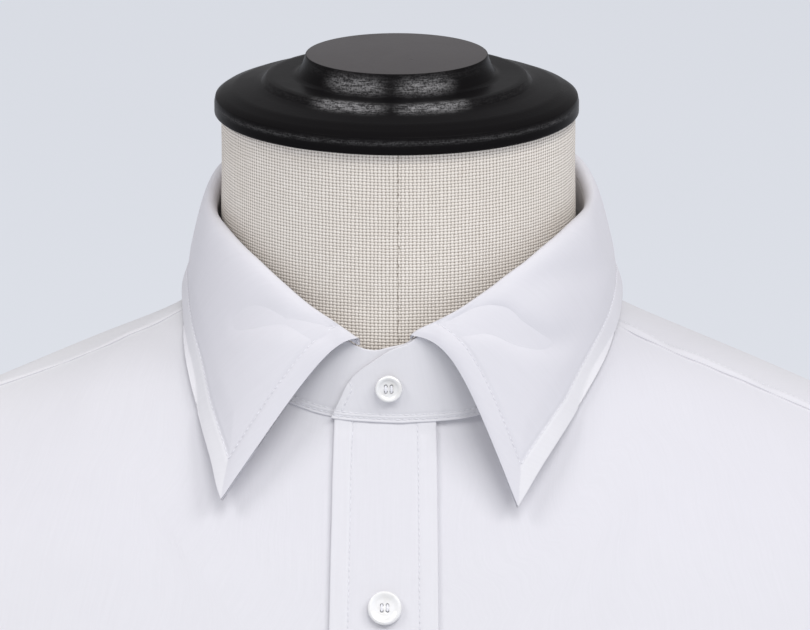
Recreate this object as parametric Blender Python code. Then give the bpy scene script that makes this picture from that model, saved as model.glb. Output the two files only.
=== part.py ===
"""A man's white point-collar shirt on a countertop dress form.

The shirt is cut and sewn as a real one: two fronts, a button band, a back, a yoke, a collar stand,
a collar leaf, two sleeves, two sleeve bands, two cuffs and the buttons. The form is a linen covered
torso with a turned neck cap, on a pole and a round base.

Left and right are the wearer's, so the left front lies at +X. The front faces -Y and +Z is up.
The object stands on the floor at Z = 0, and the pole's axis is the Z axis.
"""

import math

import bmesh
import bpy
import numpy as np
from mathutils import Matrix, Vector
from mathutils.bvhtree import BVHTree

MM = 0.001
LEFT = 1
RIGHT = -1

# Heights above the floor. A drop is a distance in millimetres below the neck point.
NECK_POINT_Z = 0.890
FOLD_Z = NECK_POINT_Z + 33 * MM
SHOULDER_DROP = 66
UNDERARM_DROP = 232
HEM_SIDE_DROP = 690
HEM_FRONT_DROP = 742
HEM_BACK_DROP = 762
SLEEVE_END_Z = 0.280
CUFF_HEIGHT = 64 * MM

# Cloth and seams
SEAM_GAP = 0.3 * MM
SHIRT_CLOTH = 1.0 * MM
COLLAR_CLOTH = 1.2 * MM
CUFF_CLOTH = 1.4 * MM

# The button band, which lies a little to the wearer's right of the form's middle
FRONT_CENTRE_X = -4.5 * MM
BAND_HALF_WIDTH = 17 * MM
UNDERLAP_X = FRONT_CENTRE_X + 15 * MM
BUTTON_COUNT = 7
FIRST_BUTTON_DROP = 82
BUTTON_SPACING = 92
BUTTON_RADIUS = 5.7 * MM
SMALL_BUTTON_RADIUS = 4.6 * MM
BUTTON_THICKNESS = 2.4 * MM

# The dress form: a drop, then half width, front depth and back depth in millimetres, and how
# square the oval is, from 2 for an ellipse
FORM_SECTIONS = (
    (-64, 61.5, 61.5, 61.5, 2.0),
    (-30, 61.5, 61.5, 61.5, 2.0),
    (-12, 61.8, 61.6, 62.0, 2.0),
    (-6, 62.6, 62.0, 62.8, 2.0),
    (-2, 64.2, 62.3, 64.0, 2.0),
    (3, 68.4, 62.7, 66.0, 2.0),
    (9.5, 78.0, 63.6, 69.5, 2.0),
    (16, 90.4, 64.0, 72.4, 2.0),
    (22, 103.5, 64.8, 75.6, 2.0),
    (29.5, 120.6, 66.8, 80.2, 2.0),
    (37, 137.2, 70.0, 85.2, 2.0),
    (48, 161.4, 75.4, 90.8, 2.0),
    (58, 182.8, 81.2, 95.6, 2.05),
    (65, 194.4, 85.6, 99.0, 2.1),
    (73, 200.8, 89.6, 101.8, 2.15),
    (82, 203.8, 94.0, 104.8, 2.2),
    (100, 205.5, 102.0, 109.8, 2.3),
    (150, 203.0, 118.0, 117.0, 2.4),
    (200, 193.0, 124.5, 117.0, 2.4),
    (250, 181.0, 125.0, 112.0, 2.35),
    (330, 161.0, 117.0, 99.0, 2.3),
    (430, 147.0, 105.0, 88.0, 2.25),
    (500, 155.0, 106.0, 97.0, 2.25),
    (560, 165.0, 108.0, 107.0, 2.3),
    (612, 169.0, 107.0, 110.0, 2.3),
    (620, 166.5, 104.5, 107.5, 2.3),
)

# How far the inside of the shirt stands off the form: a drop, then side, front and back
SHIRT_EASE = (
    (-12, 1.0, 0.6, 0.8),
    (0, 1.6, 0.8, 1.0),
    (10, 2.3, 1.2, 1.4),
    (24, 4.3, 3.1, 2.8),
    (60, 6.3, 5.6, 3.9),
    (70, 6.8, 5.8, 4.2),
    (82, 7.8, 6.0, 4.6),
    (100, 8.5, 6.0, 5.2),
    (150, 7.5, 3.5, 5.5),
    (200, 11.0, 6.0, 9.0),
    (250, 18.0, 8.0, 13.0),
    (330, 30.0, 14.0, 20.0),
    (430, 40.0, 22.0, 29.0),
    (500, 35.0, 21.0, 24.0),
    (560, 29.0, 20.0, 20.0),
    (612, 31.5, 24.0, 21.0),
    (620, 34.5, 26.8, 23.8),
    (770, 44.0, 33.0, 32.0),
)

# Soft lengthwise folds of the shirt's body: the angle round the body from the front, the half
# width in degrees, the height of the ridge (negative for a trough) in millimetres, the drop where
# it starts and the drop where it is full
BODY_FOLDS = (
    (-66, 13, 9.0, 225, 440),
    (-40, 11, -6.0, 260, 520),
    (-21, 9, 4.0, 340, 640),
    (26, 10, 5.0, 300, 600),
    (48, 11, -7.0, 240, 500),
    (70, 12, 9.0, 225, 430),
    (96, 11, -5.0, 240, 430),
    (120, 12, 12.0, 130, 400),
    (143, 11, -8.0, 130, 420),
    (165, 11, 8.0, 140, 460),
    (-173, 10, -6.0, 200, 520),
    (-152, 11, 10.0, 130, 440),
    (-130, 10, -7.0, 130, 400),
    (-109, 12, 11.0, 140, 420),
)

# The neck seam: the angle round the neck from the front, and the drop
NECK_SEAM = ((0, 26.0), (9, 25.2), (26, 18.3), (48, 7.0), (70, 0.0), (90, -2.0), (115, -6.0), (180, -11.0))

# The collar's top fold: the angle round the neck, and the height above FOLD_Z
FOLD_LINE = ((0, -32.4), (6, -31.6), (14, -28.0), (26, -21.5), (39, -13.2), (50, -7.4), (70, -1.2), (90, 0.5),
             (115, 6.0), (180, 12.0))
FOLD_HALF_WIDTH = 66.1 * MM
FOLD_OFF_CENTRE = 0.8 * MM
FOLD_FRONT = 70.0 * MM
FOLD_BACK = 68.0 * MM
ROLL_WIDTH = 2.7 * MM
ROLL_HEIGHT = 4.2 * MM

# The collar leaf on each side, from its front edge to the middle of the back. Each row is one rib:
# where it leaves the fold (an angle), how far and which way it reaches out before it turns down,
# and the place of its end on the leaf's lower edge in millimetres, with the height above FOLD_Z
LEAF_RIBS = {
    RIGHT: (
        (7.5, 13.0, 76, 59.3, -87.0, -81.5),
        (16, 9.5, 64, 60.8, -84.0, -78.2),
        (27, 6.5, 54, 63.0, -76.5, -71.0),
        (39, 5.0, 52, 66.2, -66.5, -63.0),
        (53, 4.4, 58, 69.5, -53.0, -54.0),
        (68, 4.4, 69, 72.8, -34.0, -43.4),
        (82, 4.2, 82, 74.8, -14.0, -35.8),
        (97, 4.2, 96, 75.8, 8.0, -32.8),
        (117, 4.2, 115, 72.2, 36.0, -31.0),
        (140, 4.2, 138, 55.6, 62.0, -30.5),
        (161, 3.5, 160, 29.0, 78.5, -30.0),
    ),
    LEFT: (
        (2.5, 10.5, 68, 39.9, -89.0, -83.5),
        (10, 8.5, 58, 42.3, -87.0, -80.0),
        (21, 6.5, 50, 48.0, -80.5, -72.0),
        (34, 5.0, 48, 55.0, -71.5, -63.5),
        (49, 4.4, 55, 62.5, -58.0, -55.0),
        (66, 4.6, 67, 71.4, -37.0, -44.3),
        (82, 4.4, 82, 77.6, -15.0, -35.8),
        (97, 4.4, 96, 79.0, 8.0, -32.8),
        (117, 4.2, 115, 74.6, 36.0, -31.0),
        (140, 4.2, 138, 57.0, 62.0, -30.5),
        (161, 3.5, 160, 29.2, 78.5, -30.0),
    ),
}
LEAF_BACK_RIB = (180, 3.5, 180, 0.0, 84.0, -30.0)
RIB_TURN = 0.22
RIBS_PER_ROW = 5
# A soft dent in the left leaf, as shares along its ribs and across them
DENT_RIB = 4.2
DENT_ALONG = 0.42
DENT_DEPTH = 1.5 * MM

# Where the yoke's front seam starts on the neck (an angle) and ends on the armhole (an angle
# round the armhole from its top), for each side
YOKE_FRONT_START = {LEFT: 69, RIGHT: 80}
YOKE_FRONT_END = {LEFT: 24, RIGHT: 14}
YOKE_BACK_END = -46
YOKE_BACK_DROP = 88
# How far the panels' rows sag toward the middle of the front and of the back
ROW_SAG = 105

# The armhole is an oval seen from the side
ARMHOLE_Y = 3 * MM
ARMHOLE_HALF_DEPTH = 60 * MM
SHOULDER_SLOPE = math.radians(24)

# Sleeves: height above the floor, how far out and back the middle is, and the half thickness and
# half depth of the oval, in millimetres below the first column
SLEEVE_SECTIONS = (
    (0.628, 241, 3, 32, 83),
    (0.560, 239, 2, 31, 77),
    (0.490, 237, -1, 30, 71),
    (0.430, 236, -5, 29, 67),
    (0.370, 236, -8, 28, 64),
    (0.320, 237, -10, 27, 61),
    (0.295, 238, -11, 25, 57),
    (0.280, 239, -11, 22, 51),
    (0.216, 239, -11, 22, 50),
)
# Sleeve folds: height, angle round the sleeve, half height and half width of the fold, its tilt in
# degrees for each 100 mm and its height in millimetres
SLEEVE_FOLDS = (
    (0.600, 120, 26, 26, 130, -5.0),
    (0.585, 75, 30, 24, 110, 3.5),
    (0.535, 150, 24, 30, -120, 4.0),
    (0.470, 60, 22, 34, 160, 3.5),
    (0.446, 95, 20, 36, 150, -4.0),
    (0.425, 20, 22, 40, -160, 3.0),
    (0.400, -40, 22, 34, -150, -3.5),
    (0.375, -75, 24, 30, -130, 3.0),
    (0.345, 130, 22, 30, 120, 3.0),
    (0.325, -120, 20, 24, 90, -3.0),
    (0.312, 25, 18, 16, 0, -3.5),
    (0.312, -20, 18, 16, 0, 2.5),
)
CUFF_OPENING = -112
SLEEVE_BAND_LENGTH = 130 * MM

SLEEVE_LEVELS = (*np.linspace(SLEEVE_SECTIONS[0][0], 0.31, 11), 0.295, SLEEVE_END_Z + SEAM_GAP)

# The stand of the form
CAP_SEAT_DROP = -64
POLE_RADIUS = 17 * MM
BASE_RADIUS = 150 * MM
BASE_HEIGHT = 26 * MM

# How many facets each piece has
ARMHOLE_TOP_COUNT = 6
ARMHOLE_FRONT_COUNT = 9
ARMHOLE_BACK_COUNT = 7
SIDE_SEAM_COUNT = 12
NECK_FRONT_COUNT = 5
YOKE_SEAM_COUNT = 7
BACK_COUNT = 18
FORM_SIDES = 30

WHITE_COTTON = ("white_cotton", (0.86, 0.86, 0.90), 0.85)
LINEN = ("linen", (0.66, 0.62, 0.55), 0.95)
BLACK_WOOD = ("black_wood", (0.012, 0.012, 0.014), 0.35)
PEARL = ("pearl_button", (0.82, 0.81, 0.78), 0.25)


def smooth(at, knots, values):
    """A curve through a table's rows that never overshoots a row."""
    knots = np.asarray(knots, float)
    values = np.asarray(values, float)
    widths = np.diff(knots)
    rises = np.diff(values) / widths
    before, after = rises[:-1], rises[1:]
    same_way = before * after > 0
    total = np.where(same_way, before + after, 1.0)
    middle = np.where(same_way, 2 * before * after / total, 0.0)
    slopes = np.concatenate([rises[:1], middle, rises[-1:]])
    at = np.clip(np.asarray(at, float), knots[0], knots[-1])
    i = np.clip(np.searchsorted(knots, at, side="right") - 1, 0, len(knots) - 2)
    t = (at - knots[i]) / widths[i]
    start = (1 + 2 * t) * (1 - t) ** 2 * values[i] + t * (1 - t) ** 2 * widths[i] * slopes[i]
    end = t * t * (3 - 2 * t) * values[i + 1] - t * t * (1 - t) * widths[i] * slopes[i + 1]
    return start + end


def ease_in(t):
    """0 below 0, 1 above 1, and a soft step between."""
    t = np.clip(t, 0, 1)
    return t * t * (3 - 2 * t)


def height(drop):
    """The height above the floor of a drop in millimetres."""
    return NECK_POINT_Z - np.asarray(drop, float) * MM


def unit(vectors):
    return vectors / np.linalg.norm(vectors, axis=-1, keepdims=True)


class Body:
    """A form whose level sections are ovals, as FORM_SECTIONS gives them."""

    def oval(self, z):
        """Half width, front depth, back depth and squareness of the oval at a height."""
        columns = np.array(FORM_SECTIONS).T
        drop = (NECK_POINT_Z - z) / MM
        width, front, back, power = (smooth(drop, columns[0], c) for c in columns[1:])
        return width * MM, front * MM, back * MM, power

    def level(self, points):
        """0 on the surface, below 0 inside it."""
        x, y, z = np.moveaxis(points, -1, 0)
        width, front, back, power = self.oval(z)
        depth = np.where(y < 0, front, back)
        return (np.abs(x / width) ** power + np.abs(y / depth) ** power) ** (1 / power) - 1

    def slope(self, points):
        """How fast the level rises along X, Y and Z."""
        step = 0.05 * MM
        ways = np.eye(3) * step
        return np.stack(
            [(self.level(points + w) - self.level(points - w)) / (2 * step) for w in ways], -1)

    def settle(self, points, out=0.0):
        """The points moved onto the surface, or to a distance outside it."""
        points = np.array(points, float)
        for _ in range(10):
            slope = self.slope(points)
            shift = self.level(points) / (slope ** 2).sum(-1)
            points = points - shift[..., None] * slope
        out = np.asarray(out, float)
        return points + unit(self.slope(points)) * out[..., None]

    def around(self, angle, z):
        """The point at an angle in degrees from the front, at a height."""
        a = np.radians(np.asarray(angle, float))
        width, front, back, power = self.oval(z)
        depth = np.where(np.cos(a) > 0, front, back)
        x = width * np.sign(np.sin(a)) * np.abs(np.sin(a)) ** (2 / power)
        y = -depth * np.sign(np.cos(a)) * np.abs(np.cos(a)) ** (2 / power)
        return np.stack([x, y, z + 0 * x], -1)

    def side_point(self, side, y, z):
        """The surface point on one side at a given depth and height."""
        width, front, back, power = self.oval(z)
        depth = np.where(y < 0, front, back)
        x = side * width * (1 - np.abs(y / depth) ** power) ** (1 / power)
        return np.stack([x, y, z], -1)


class ShirtBody(Body):
    """The inside of the shirt's body, which stands off the form by its ease."""

    def oval(self, z):
        width, front, back, power = super().oval(z)
        columns = np.array(SHIRT_EASE).T
        drop = (NECK_POINT_Z - z) / MM
        side, fore, aft = (smooth(drop, columns[0], c) * MM for c in columns[1:])
        return width + side, front + fore, back + aft, power


FORM = Body()
SHIRT = ShirtBody()


def body_fold(points):
    """How far the shirt's soft folds stand out at each point."""
    angle = np.degrees(np.arctan2(points[..., 0], -points[..., 1]))
    drop = (NECK_POINT_Z - points[..., 2]) / MM
    total = np.zeros(points.shape[:-1])
    for middle, half_width, ridge, start, full in BODY_FOLDS:
        away = (angle - middle + 180) % 360 - 180
        swell = ease_in((drop - start) / (full - start))
        total = total + ridge * MM * swell * np.exp(-((away / half_width) ** 2))
    return total


def on_shirt(points, out):
    """The points moved onto the shirt's body, out by a distance from its inside."""
    settled = SHIRT.settle(points)
    return SHIRT.settle(settled, out + body_fold(settled))


def keep_off(points, out):
    """The points, with those nearer than a distance to the inside of the shirt moved out."""
    slope = SHIRT.slope(points)
    steep = np.linalg.norm(slope, axis=-1)
    short = np.maximum(out - SHIRT.level(points) / steep, 0)
    return points + slope * (short / steep)[..., None]


def line(start, end, count):
    """Points along a straight line."""
    share = np.linspace(0, 1, count + 1)[:, None]
    return np.asarray(start) * (1 - share) + np.asarray(end) * share


def join(*edges):
    """Edges end to end, with the shared points kept once."""
    return np.concatenate([edges[0]] + [e[1:] for e in edges[1:]])


def patch(top, bottom, first, last):
    """A grid inside four edges: rows go from top to bottom, columns from first to last."""
    u = np.linspace(0, 1, len(top))[None, :, None]
    v = np.linspace(0, 1, len(first))[:, None, None]
    down = top[None] * (1 - v) + bottom[None] * v
    across = first[:, None] * (1 - u) + last[:, None] * u
    corners = ((top[0] * (1 - u) + top[-1] * u) * (1 - v)
               + (bottom[0] * (1 - u) + bottom[-1] * u) * v)
    return down + across - corners


def inset(grid, rows=True, columns=True):
    """The grid with its edges drawn in by half a seam gap."""
    half = SEAM_GAP / 2
    grid = grid.copy()
    if rows:
        grid[0] += unit(grid[1] - grid[0]) * half
        grid[-1] += unit(grid[-2] - grid[-1]) * half
    if columns:
        grid[:, 0] += unit(grid[:, 1] - grid[:, 0]) * half
        grid[:, -1] += unit(grid[:, -2] - grid[:, -1]) * half
    return grid


def material(finish):
    """A Principled material for a finish, made once."""
    name, colour, roughness = finish
    made = bpy.data.materials.get(name)
    if made is None:
        made = bpy.data.materials.new(name)
        made.use_nodes = True
        shader = made.node_tree.nodes["Principled BSDF"]
        shader.inputs["Base Color"].default_value = (*colour, 1)
        shader.inputs["Roughness"].default_value = roughness
        shader.inputs["Metallic"].default_value = 0.0
        made.diffuse_color = (*colour, 1)
    return made


def add_object(name, mesh, finish):
    """A named object in the scene with its material, shaded smooth."""
    made = bpy.data.objects.new(name, mesh)
    bpy.context.scene.collection.objects.link(made)
    if not mesh.materials:
        mesh.materials.append(material(finish))
        mesh.shade_smooth()
        mesh.set_sharp_from_angle(angle=math.radians(40))
    return made


def cloth(name, grid, thickness, finish=WHITE_COTTON, closed=False, flip=False):
    """A wall of cloth from the grid of points on its outer face.

    Columns go round to the wearer's left as seen from outside, unless flip is set.
    A closed grid is a tube, whose last column joins its first.
    """
    rows, columns = grid.shape[:2]
    spans = columns if closed else columns - 1
    faces = []
    for r in range(rows - 1):
        for c in range(spans):
            d = (c + 1) % columns
            corners = (r * columns + c, (r + 1) * columns + c, (r + 1) * columns + d, r * columns + d)
            for face in (corners[:3], (corners[0], *corners[2:])):
                faces.append(face[::-1] if flip else face)
    mesh = bpy.data.meshes.new(name)
    mesh.from_pydata(grid.reshape(-1, 3).tolist(), [], faces)
    made = add_object(name, mesh, finish)
    wall = made.modifiers.new("cloth", "SOLIDIFY")
    wall.thickness = thickness
    wall.offset = -1.0
    return made


def panel(name, grid, out=0.0, rows=True, columns=True, flip=False):
    """A wall of cloth laid on the shirt's body, out by a distance from the body's inside.

    Both faces come from the body's surface, so neighbours keep the seam gap through the wall.
    """
    faces = []
    sides = []
    for distance in (out + SHIRT_CLOTH, out):
        sides.append(inset(on_shirt(grid, distance), rows, columns))
    rows, columns = grid.shape[:2]
    count = rows * columns
    for r in range(rows - 1):
        for c in range(columns - 1):
            a = r * columns + c
            for face in ((a, a + columns, a + columns + 1), (a, a + columns + 1, a + 1)):
                faces += [face, tuple(count + i for i in reversed(face))]
    rim = [r * columns for r in range(rows)]
    rim += [(rows - 1) * columns + c for c in range(1, columns)]
    rim += [r * columns + columns - 1 for r in range(rows - 2, -1, -1)]
    rim += list(range(columns - 2, 0, -1))
    for a, b in zip(rim, rim[1:] + rim[:1]):
        faces.append((b, a, count + a, count + b))
    if flip:
        faces = [face[::-1] for face in faces]
    mesh = bpy.data.meshes.new(name)
    mesh.from_pydata(np.stack(sides).reshape(-1, 3).tolist(), [], faces)
    return add_object(name, mesh, WHITE_COTTON)


def turned(name, profile, sides, finish):
    """A solid turned on a lathe, from its outline: radius and height, top to bottom."""
    mesh = bpy.data.meshes.new(name)
    points = [(radius, 0, z) for radius, z in profile]
    mesh.from_pydata(points, [(i, i + 1) for i in range(len(points) - 1)], [])
    made = bpy.data.objects.new(name, mesh)
    bpy.context.scene.collection.objects.link(made)
    mesh.materials.append(material(finish))
    lathe = made.modifiers.new("lathe", "SCREW")
    lathe.axis = "Z"
    lathe.steps = sides
    lathe.render_steps = sides
    lathe.use_merge_vertices = True
    lathe.merge_threshold = 0.00001
    lathe.use_smooth_shade = True
    return made


def neck_seam(angle):
    """The seam between the shirt and its collar stand, on the shirt's inside."""
    around = np.abs((np.asarray(angle, float) + 180) % 360 - 180)
    drop = smooth(around, *zip(*NECK_SEAM))
    return SHIRT.around(angle, height(drop))


def seam_angle(x):
    """The angle of the front neck seam at a distance from the form's middle."""
    width = SHIRT.oval(height(NECK_SEAM[0][1]))[0]
    return math.degrees(math.asin(x / width))


def armhole(side, angles):
    """The armhole seam, on the shirt's inside, at angles from its top; the front is positive."""
    a = np.radians(np.asarray(angles, float))
    half_height = (UNDERARM_DROP - SHOULDER_DROP) / 2
    y = ARMHOLE_Y - ARMHOLE_HALF_DEPTH * np.sin(a)
    z = height(SHOULDER_DROP + half_height * (1 - np.cos(a)))
    return SHIRT.side_point(side, y, z)


def armhole_top(side):
    """The yoke's part of the armhole, from its front to its back."""
    return armhole(side, np.linspace(YOKE_FRONT_END[side], YOKE_BACK_END, ARMHOLE_TOP_COUNT + 1))


def armhole_front(side):
    return armhole(side, np.linspace(YOKE_FRONT_END[side], 180, ARMHOLE_FRONT_COUNT + 1))


def armhole_back(side):
    return armhole(side, np.linspace(YOKE_BACK_END, -180, ARMHOLE_BACK_COUNT + 1))


def hem(angles):
    """The hem, which is longest at the middle of the front and of the back."""
    a = np.radians(np.asarray(angles, float))
    longest = np.where(np.cos(a) > 0, HEM_FRONT_DROP, HEM_BACK_DROP)
    drop = HEM_SIDE_DROP + (longest - HEM_SIDE_DROP) * np.abs(np.cos(a)) ** 1.4
    return SHIRT.around(angles, height(drop))


def side_seam(side):
    return line(armhole(side, 180), hem(90 * side), SIDE_SEAM_COUNT)


def yoke_front_seam(side):
    start = neck_seam(YOKE_FRONT_START[side] * side)
    return SHIRT.settle(line(start, armhole(side, YOKE_FRONT_END[side]), YOKE_SEAM_COUNT))


def front_line(x):
    """A line down the front at a distance from the form's middle, with the panel's rows."""
    top = neck_seam(seam_angle(x))
    half_width = SHIRT.oval(height(HEM_FRONT_DROP))[0]
    bottom = hem(math.degrees(math.asin(x / half_width)))
    bottom[0] = x
    chest = np.array([x, top[1], height(UNDERARM_DROP + ROW_SAG)])
    return join(line(top, chest, ARMHOLE_FRONT_COUNT), line(chest, bottom, SIDE_SEAM_COUNT))


def front_rest(side, x):
    """The part of a front from a line at x to the armhole and the side seam."""
    start = seam_angle(x)
    neck = neck_seam(np.linspace(start, YOKE_FRONT_START[side] * side, NECK_FRONT_COUNT + 1))
    top = join(neck, yoke_front_seam(side))
    half_width = SHIRT.oval(height(HEM_FRONT_DROP))[0]
    hem_start = math.degrees(math.asin(x / half_width))
    bottom = hem(np.linspace(hem_start, 90 * side, len(top)))
    outer_edge = join(armhole_front(side), side_seam(side))
    return patch(top, bottom, front_line(x), outer_edge)


def build_fronts():
    """Both fronts, and the button band that lies over them.

    The right front carries on under the band, to the band's stitched edge.
    """
    band_right = FRONT_CENTRE_X - BAND_HALF_WIDTH
    band_left = FRONT_CENTRE_X + BAND_HALF_WIDTH
    under_xs = np.linspace(UNDERLAP_X, band_right, 4)
    underlap = np.stack([front_line(x) for x in under_xs], 1)
    right = np.concatenate([underlap, front_rest(RIGHT, band_right)[:, 1:]], 1)
    panel("front_right", right, flip=True)

    edge = front_line(UNDERLAP_X)
    left = np.concatenate([edge[:, None], front_rest(LEFT, band_left)], 1)
    panel("front_left", left)

    band_xs = [band_right, *under_xs[-2:0:-1], UNDERLAP_X, band_left]
    band = np.stack([front_line(x) for x in band_xs], 1)
    panel("button_band", band, SHIRT_CLOTH + SEAM_GAP, columns=False)


def yoke_back_seam():
    """The seam below the yoke, from the left armhole across the back to the right one."""
    start, end = armhole(LEFT, YOKE_BACK_END), armhole(RIGHT, YOKE_BACK_END)
    middle = SHIRT.around(180, height(YOKE_BACK_DROP))
    share = np.linspace(-1, 1, BACK_COUNT + 1)[:, None]
    low = (1 - share ** 2) * (middle[2] - start[2])
    across = start * (1 - share) / 2 + end * (1 + share) / 2
    across[:, 1:2] = start[1] + (1 - share ** 2) * (middle[1] - start[1])
    across[:, 2:3] += low
    return SHIRT.settle(across)


def build_yoke():
    """The yoke, from its left front seam round the neck to its right one."""
    count = 2 * ARMHOLE_TOP_COUNT + BACK_COUNT
    angles = np.linspace(YOKE_FRONT_START[LEFT], 360 - YOKE_FRONT_START[RIGHT], count + 1)
    neck = neck_seam(angles)
    outer = join(armhole_top(LEFT), yoke_back_seam(), armhole_top(RIGHT)[::-1])
    grid = patch(neck, outer, yoke_front_seam(LEFT), yoke_front_seam(RIGHT))
    panel("yoke", grid)


def build_back():
    """The back, from the yoke to the hem."""
    first = join(armhole_back(LEFT), side_seam(LEFT))
    last = join(armhole_back(RIGHT), side_seam(RIGHT))
    bottom = hem(np.linspace(90, 270, BACK_COUNT + 1))
    grid = patch(yoke_back_seam(), bottom, first, last)
    across = np.linspace(-1, 1, grid.shape[1])[None]
    knots = (0, ARMHOLE_BACK_COUNT, len(first) - 1)
    down = smooth(np.arange(len(first)), knots, (0, ROW_SAG, 0))[:, None]
    grid[..., 2] -= down * MM * (1 - np.abs(across) ** 3)
    panel("back", grid)


def ring_way(angle):
    """The level direction that points away from the neck at an angle."""
    a = np.radians(angle)
    return np.stack([np.sin(a), -np.cos(a), 0 * a], -1)


def fold_point(angle):
    """The highest line of the collar, where the leaf folds over, at an angle."""
    angle = np.asarray(angle, float)
    a = np.radians(angle)
    around = np.abs((angle + 180) % 360 - 180)
    depth = np.where(np.cos(a) > 0, FOLD_FRONT, FOLD_BACK)
    x = FOLD_HALF_WIDTH * np.sin(a) + FOLD_OFF_CENTRE
    z = FOLD_Z + smooth(around, *zip(*FOLD_LINE)) * MM
    return np.stack([x, -depth * np.cos(a), z], -1)


def stand_top(angle):
    """The seam between stand and leaf, on the side that faces the neck."""
    around = np.abs((np.asarray(angle, float) + 180) % 360 - 180)
    drop = ROLL_HEIGHT * (0.6 + 0.4 * ease_in((around - 3) / 15))
    point = fold_point(angle) - ring_way(angle) * ROLL_WIDTH
    point[..., 2] -= drop
    return point


def neck_rise(angle):
    """How far the outer face of the cloth stands above the neck seam, with a seam gap."""
    seam = neck_seam(angle)
    lean = unit(SHIRT.slope(seam))[..., 2]
    around = np.abs((np.asarray(angle, float) + 180) % 360 - 180)
    under_band = (SHIRT_CLOTH + SEAM_GAP) * ease_in((62 - around) / 20)
    return lean * (SHIRT_CLOTH + under_band) + SEAM_GAP + 0.1 * MM


def build_stand():
    """The collar stand, whose left end laps over its right end and is rounded at the top."""
    step = COLLAR_CLOTH + SEAM_GAP + 0.1 * MM
    under_end = seam_angle(UNDERLAP_X)
    over_end = seam_angle(FRONT_CENTRE_X - BAND_HALF_WIDTH - MM) - 360
    near_end = over_end + 12
    far = np.linspace(under_end, over_end + 54, 42)
    ramp = np.linspace(over_end + 54, near_end, 8)
    rounded = np.linspace(near_end, over_end, 8)
    angles = np.concatenate([far, ramp[1:], rounded[1:]])
    lifted = ease_in((over_end + 52 - angles) / 22) * step
    outward = ring_way(angles)
    bottom = neck_seam(angles) + outward * (lifted + COLLAR_CLOTH)[:, None]
    bottom[:, 2] += neck_rise(angles)
    top = stand_top(angles) + outward * (lifted + COLLAR_CLOTH)[:, None]
    rise = top - bottom
    corner = 0.55
    past = np.clip((near_end - angles) / (near_end - over_end), 0, 1)
    keep = 1 - corner * (1 - np.sqrt(1 - past ** 2))
    top = bottom + rise * keep[:, None]
    shares = np.linspace(0, 1, 3)[:, None, None]
    grid = top[None] * (1 - shares) + bottom[None] * shares
    cloth("collar_stand", grid, COLLAR_CLOTH, flip=True)


def leaf_table():
    """All ribs from the right front edge round the back to the left one."""
    right = [(-a, r, -w, -x, y, z) for a, r, w, x, y, z in LEAF_RIBS[RIGHT]]
    back = [(-180, LEAF_BACK_RIB[1], -180, *LEAF_BACK_RIB[3:])]
    left = [(a - 360, r, w - 360, x, y, z) for a, r, w, x, y, z in LEAF_RIBS[LEFT][::-1]]
    return np.array(right + back + left, float)


def build_leaf():
    """The collar leaf: it rises from the stand, folds over and falls to its points."""
    table = leaf_table()
    rows = np.arange(len(table))
    at = np.linspace(0, rows[-1], RIBS_PER_ROW * rows[-1] // 2 + 1)
    angle, reach, way, x, y, z = (smooth(at, rows, column) for column in table.T)
    seam = stand_top(angle)
    to_front = np.abs((angle + 180) % 360 - 180)
    seam[:, 2] += SEAM_GAP + (0.7 - 0.4 * ease_in((to_front - 10) / 25)) * MM
    crest = fold_point(angle)
    inner = []
    for turn in np.radians((0, 38, 66)):
        across = (crest - seam) * np.array([1, 1, 0]) * (1 - math.cos(turn))
        up = (crest - seam) * np.array([0, 0, 1]) * math.sin(turn)
        inner.append(seam + across + up)
    edge = np.stack([x * MM, y * MM, FOLD_Z + z * MM], -1)
    hand = crest + ring_way(way) * (reach * MM)[:, None]
    turn_point = hand + (edge - hand) * RIB_TURN
    outer = []
    for t in (0, 0.14, 0.30, 0.48, 0.68, 0.85, 1):
        outer.append(crest * (1 - t) ** 3 + hand * 3 * t * (1 - t) ** 2
                     + turn_point * 3 * t * t * (1 - t) + edge * t ** 3)
    grid = np.stack(inner + outer)
    along = np.linspace(0, 1, len(grid))[:, None]
    rib = (rows[-1] - at)[None]
    dent = np.exp(-(((rib - DENT_RIB) / 1.6) ** 2) - ((along - DENT_ALONG) / 0.07) ** 2)
    grid -= ring_way(way)[None] * (dent * DENT_DEPTH)[..., None]
    fall = len(inner) + 2
    grid[fall:] = keep_off(grid[fall:], SHIRT_CLOTH + COLLAR_CLOTH + 0.9 * MM)
    cloth("collar_leaf", grid, COLLAR_CLOTH, flip=True)


def sleeve_oval(side, angles, z):
    """The sleeve's outer face at a height, at angles from its outermost line."""
    columns = np.array(SLEEVE_SECTIONS[::-1]).T
    out, back, half_thickness, half_depth = (smooth(z, columns[0], c) * MM for c in columns[1:])
    angles = np.asarray(angles, float)
    fold = np.zeros(np.broadcast(angles, z).shape)
    for middle, angle, half_height, half_width, tilt, ridge in SLEEVE_FOLDS:
        up = (z - middle) / MM
        away = (angles - angle - tilt * up / 100 + 180) % 360 - 180
        fold = fold + ridge * MM * np.exp(-((up / half_height) ** 2) - (away / half_width) ** 2)
    a = np.radians(angles)
    x = side * (out + (half_thickness + fold) * np.cos(a))
    y = back - (half_depth + fold) * np.sin(a)
    return np.stack([x, y, z + 0 * x], -1)


def on_sleeve(side, angles, z, out):
    """Points a distance out from the sleeve's outer face."""
    angles = np.asarray(angles, float)
    ahead = sleeve_oval(side, angles + 1, z) - sleeve_oval(side, angles - 1, z)
    up = sleeve_oval(side, angles, z + MM) - sleeve_oval(side, angles, z - MM)
    facing = unit(np.cross(up, ahead)) * side
    return sleeve_oval(side, angles, z) + facing * np.asarray(out)[..., None]


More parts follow.
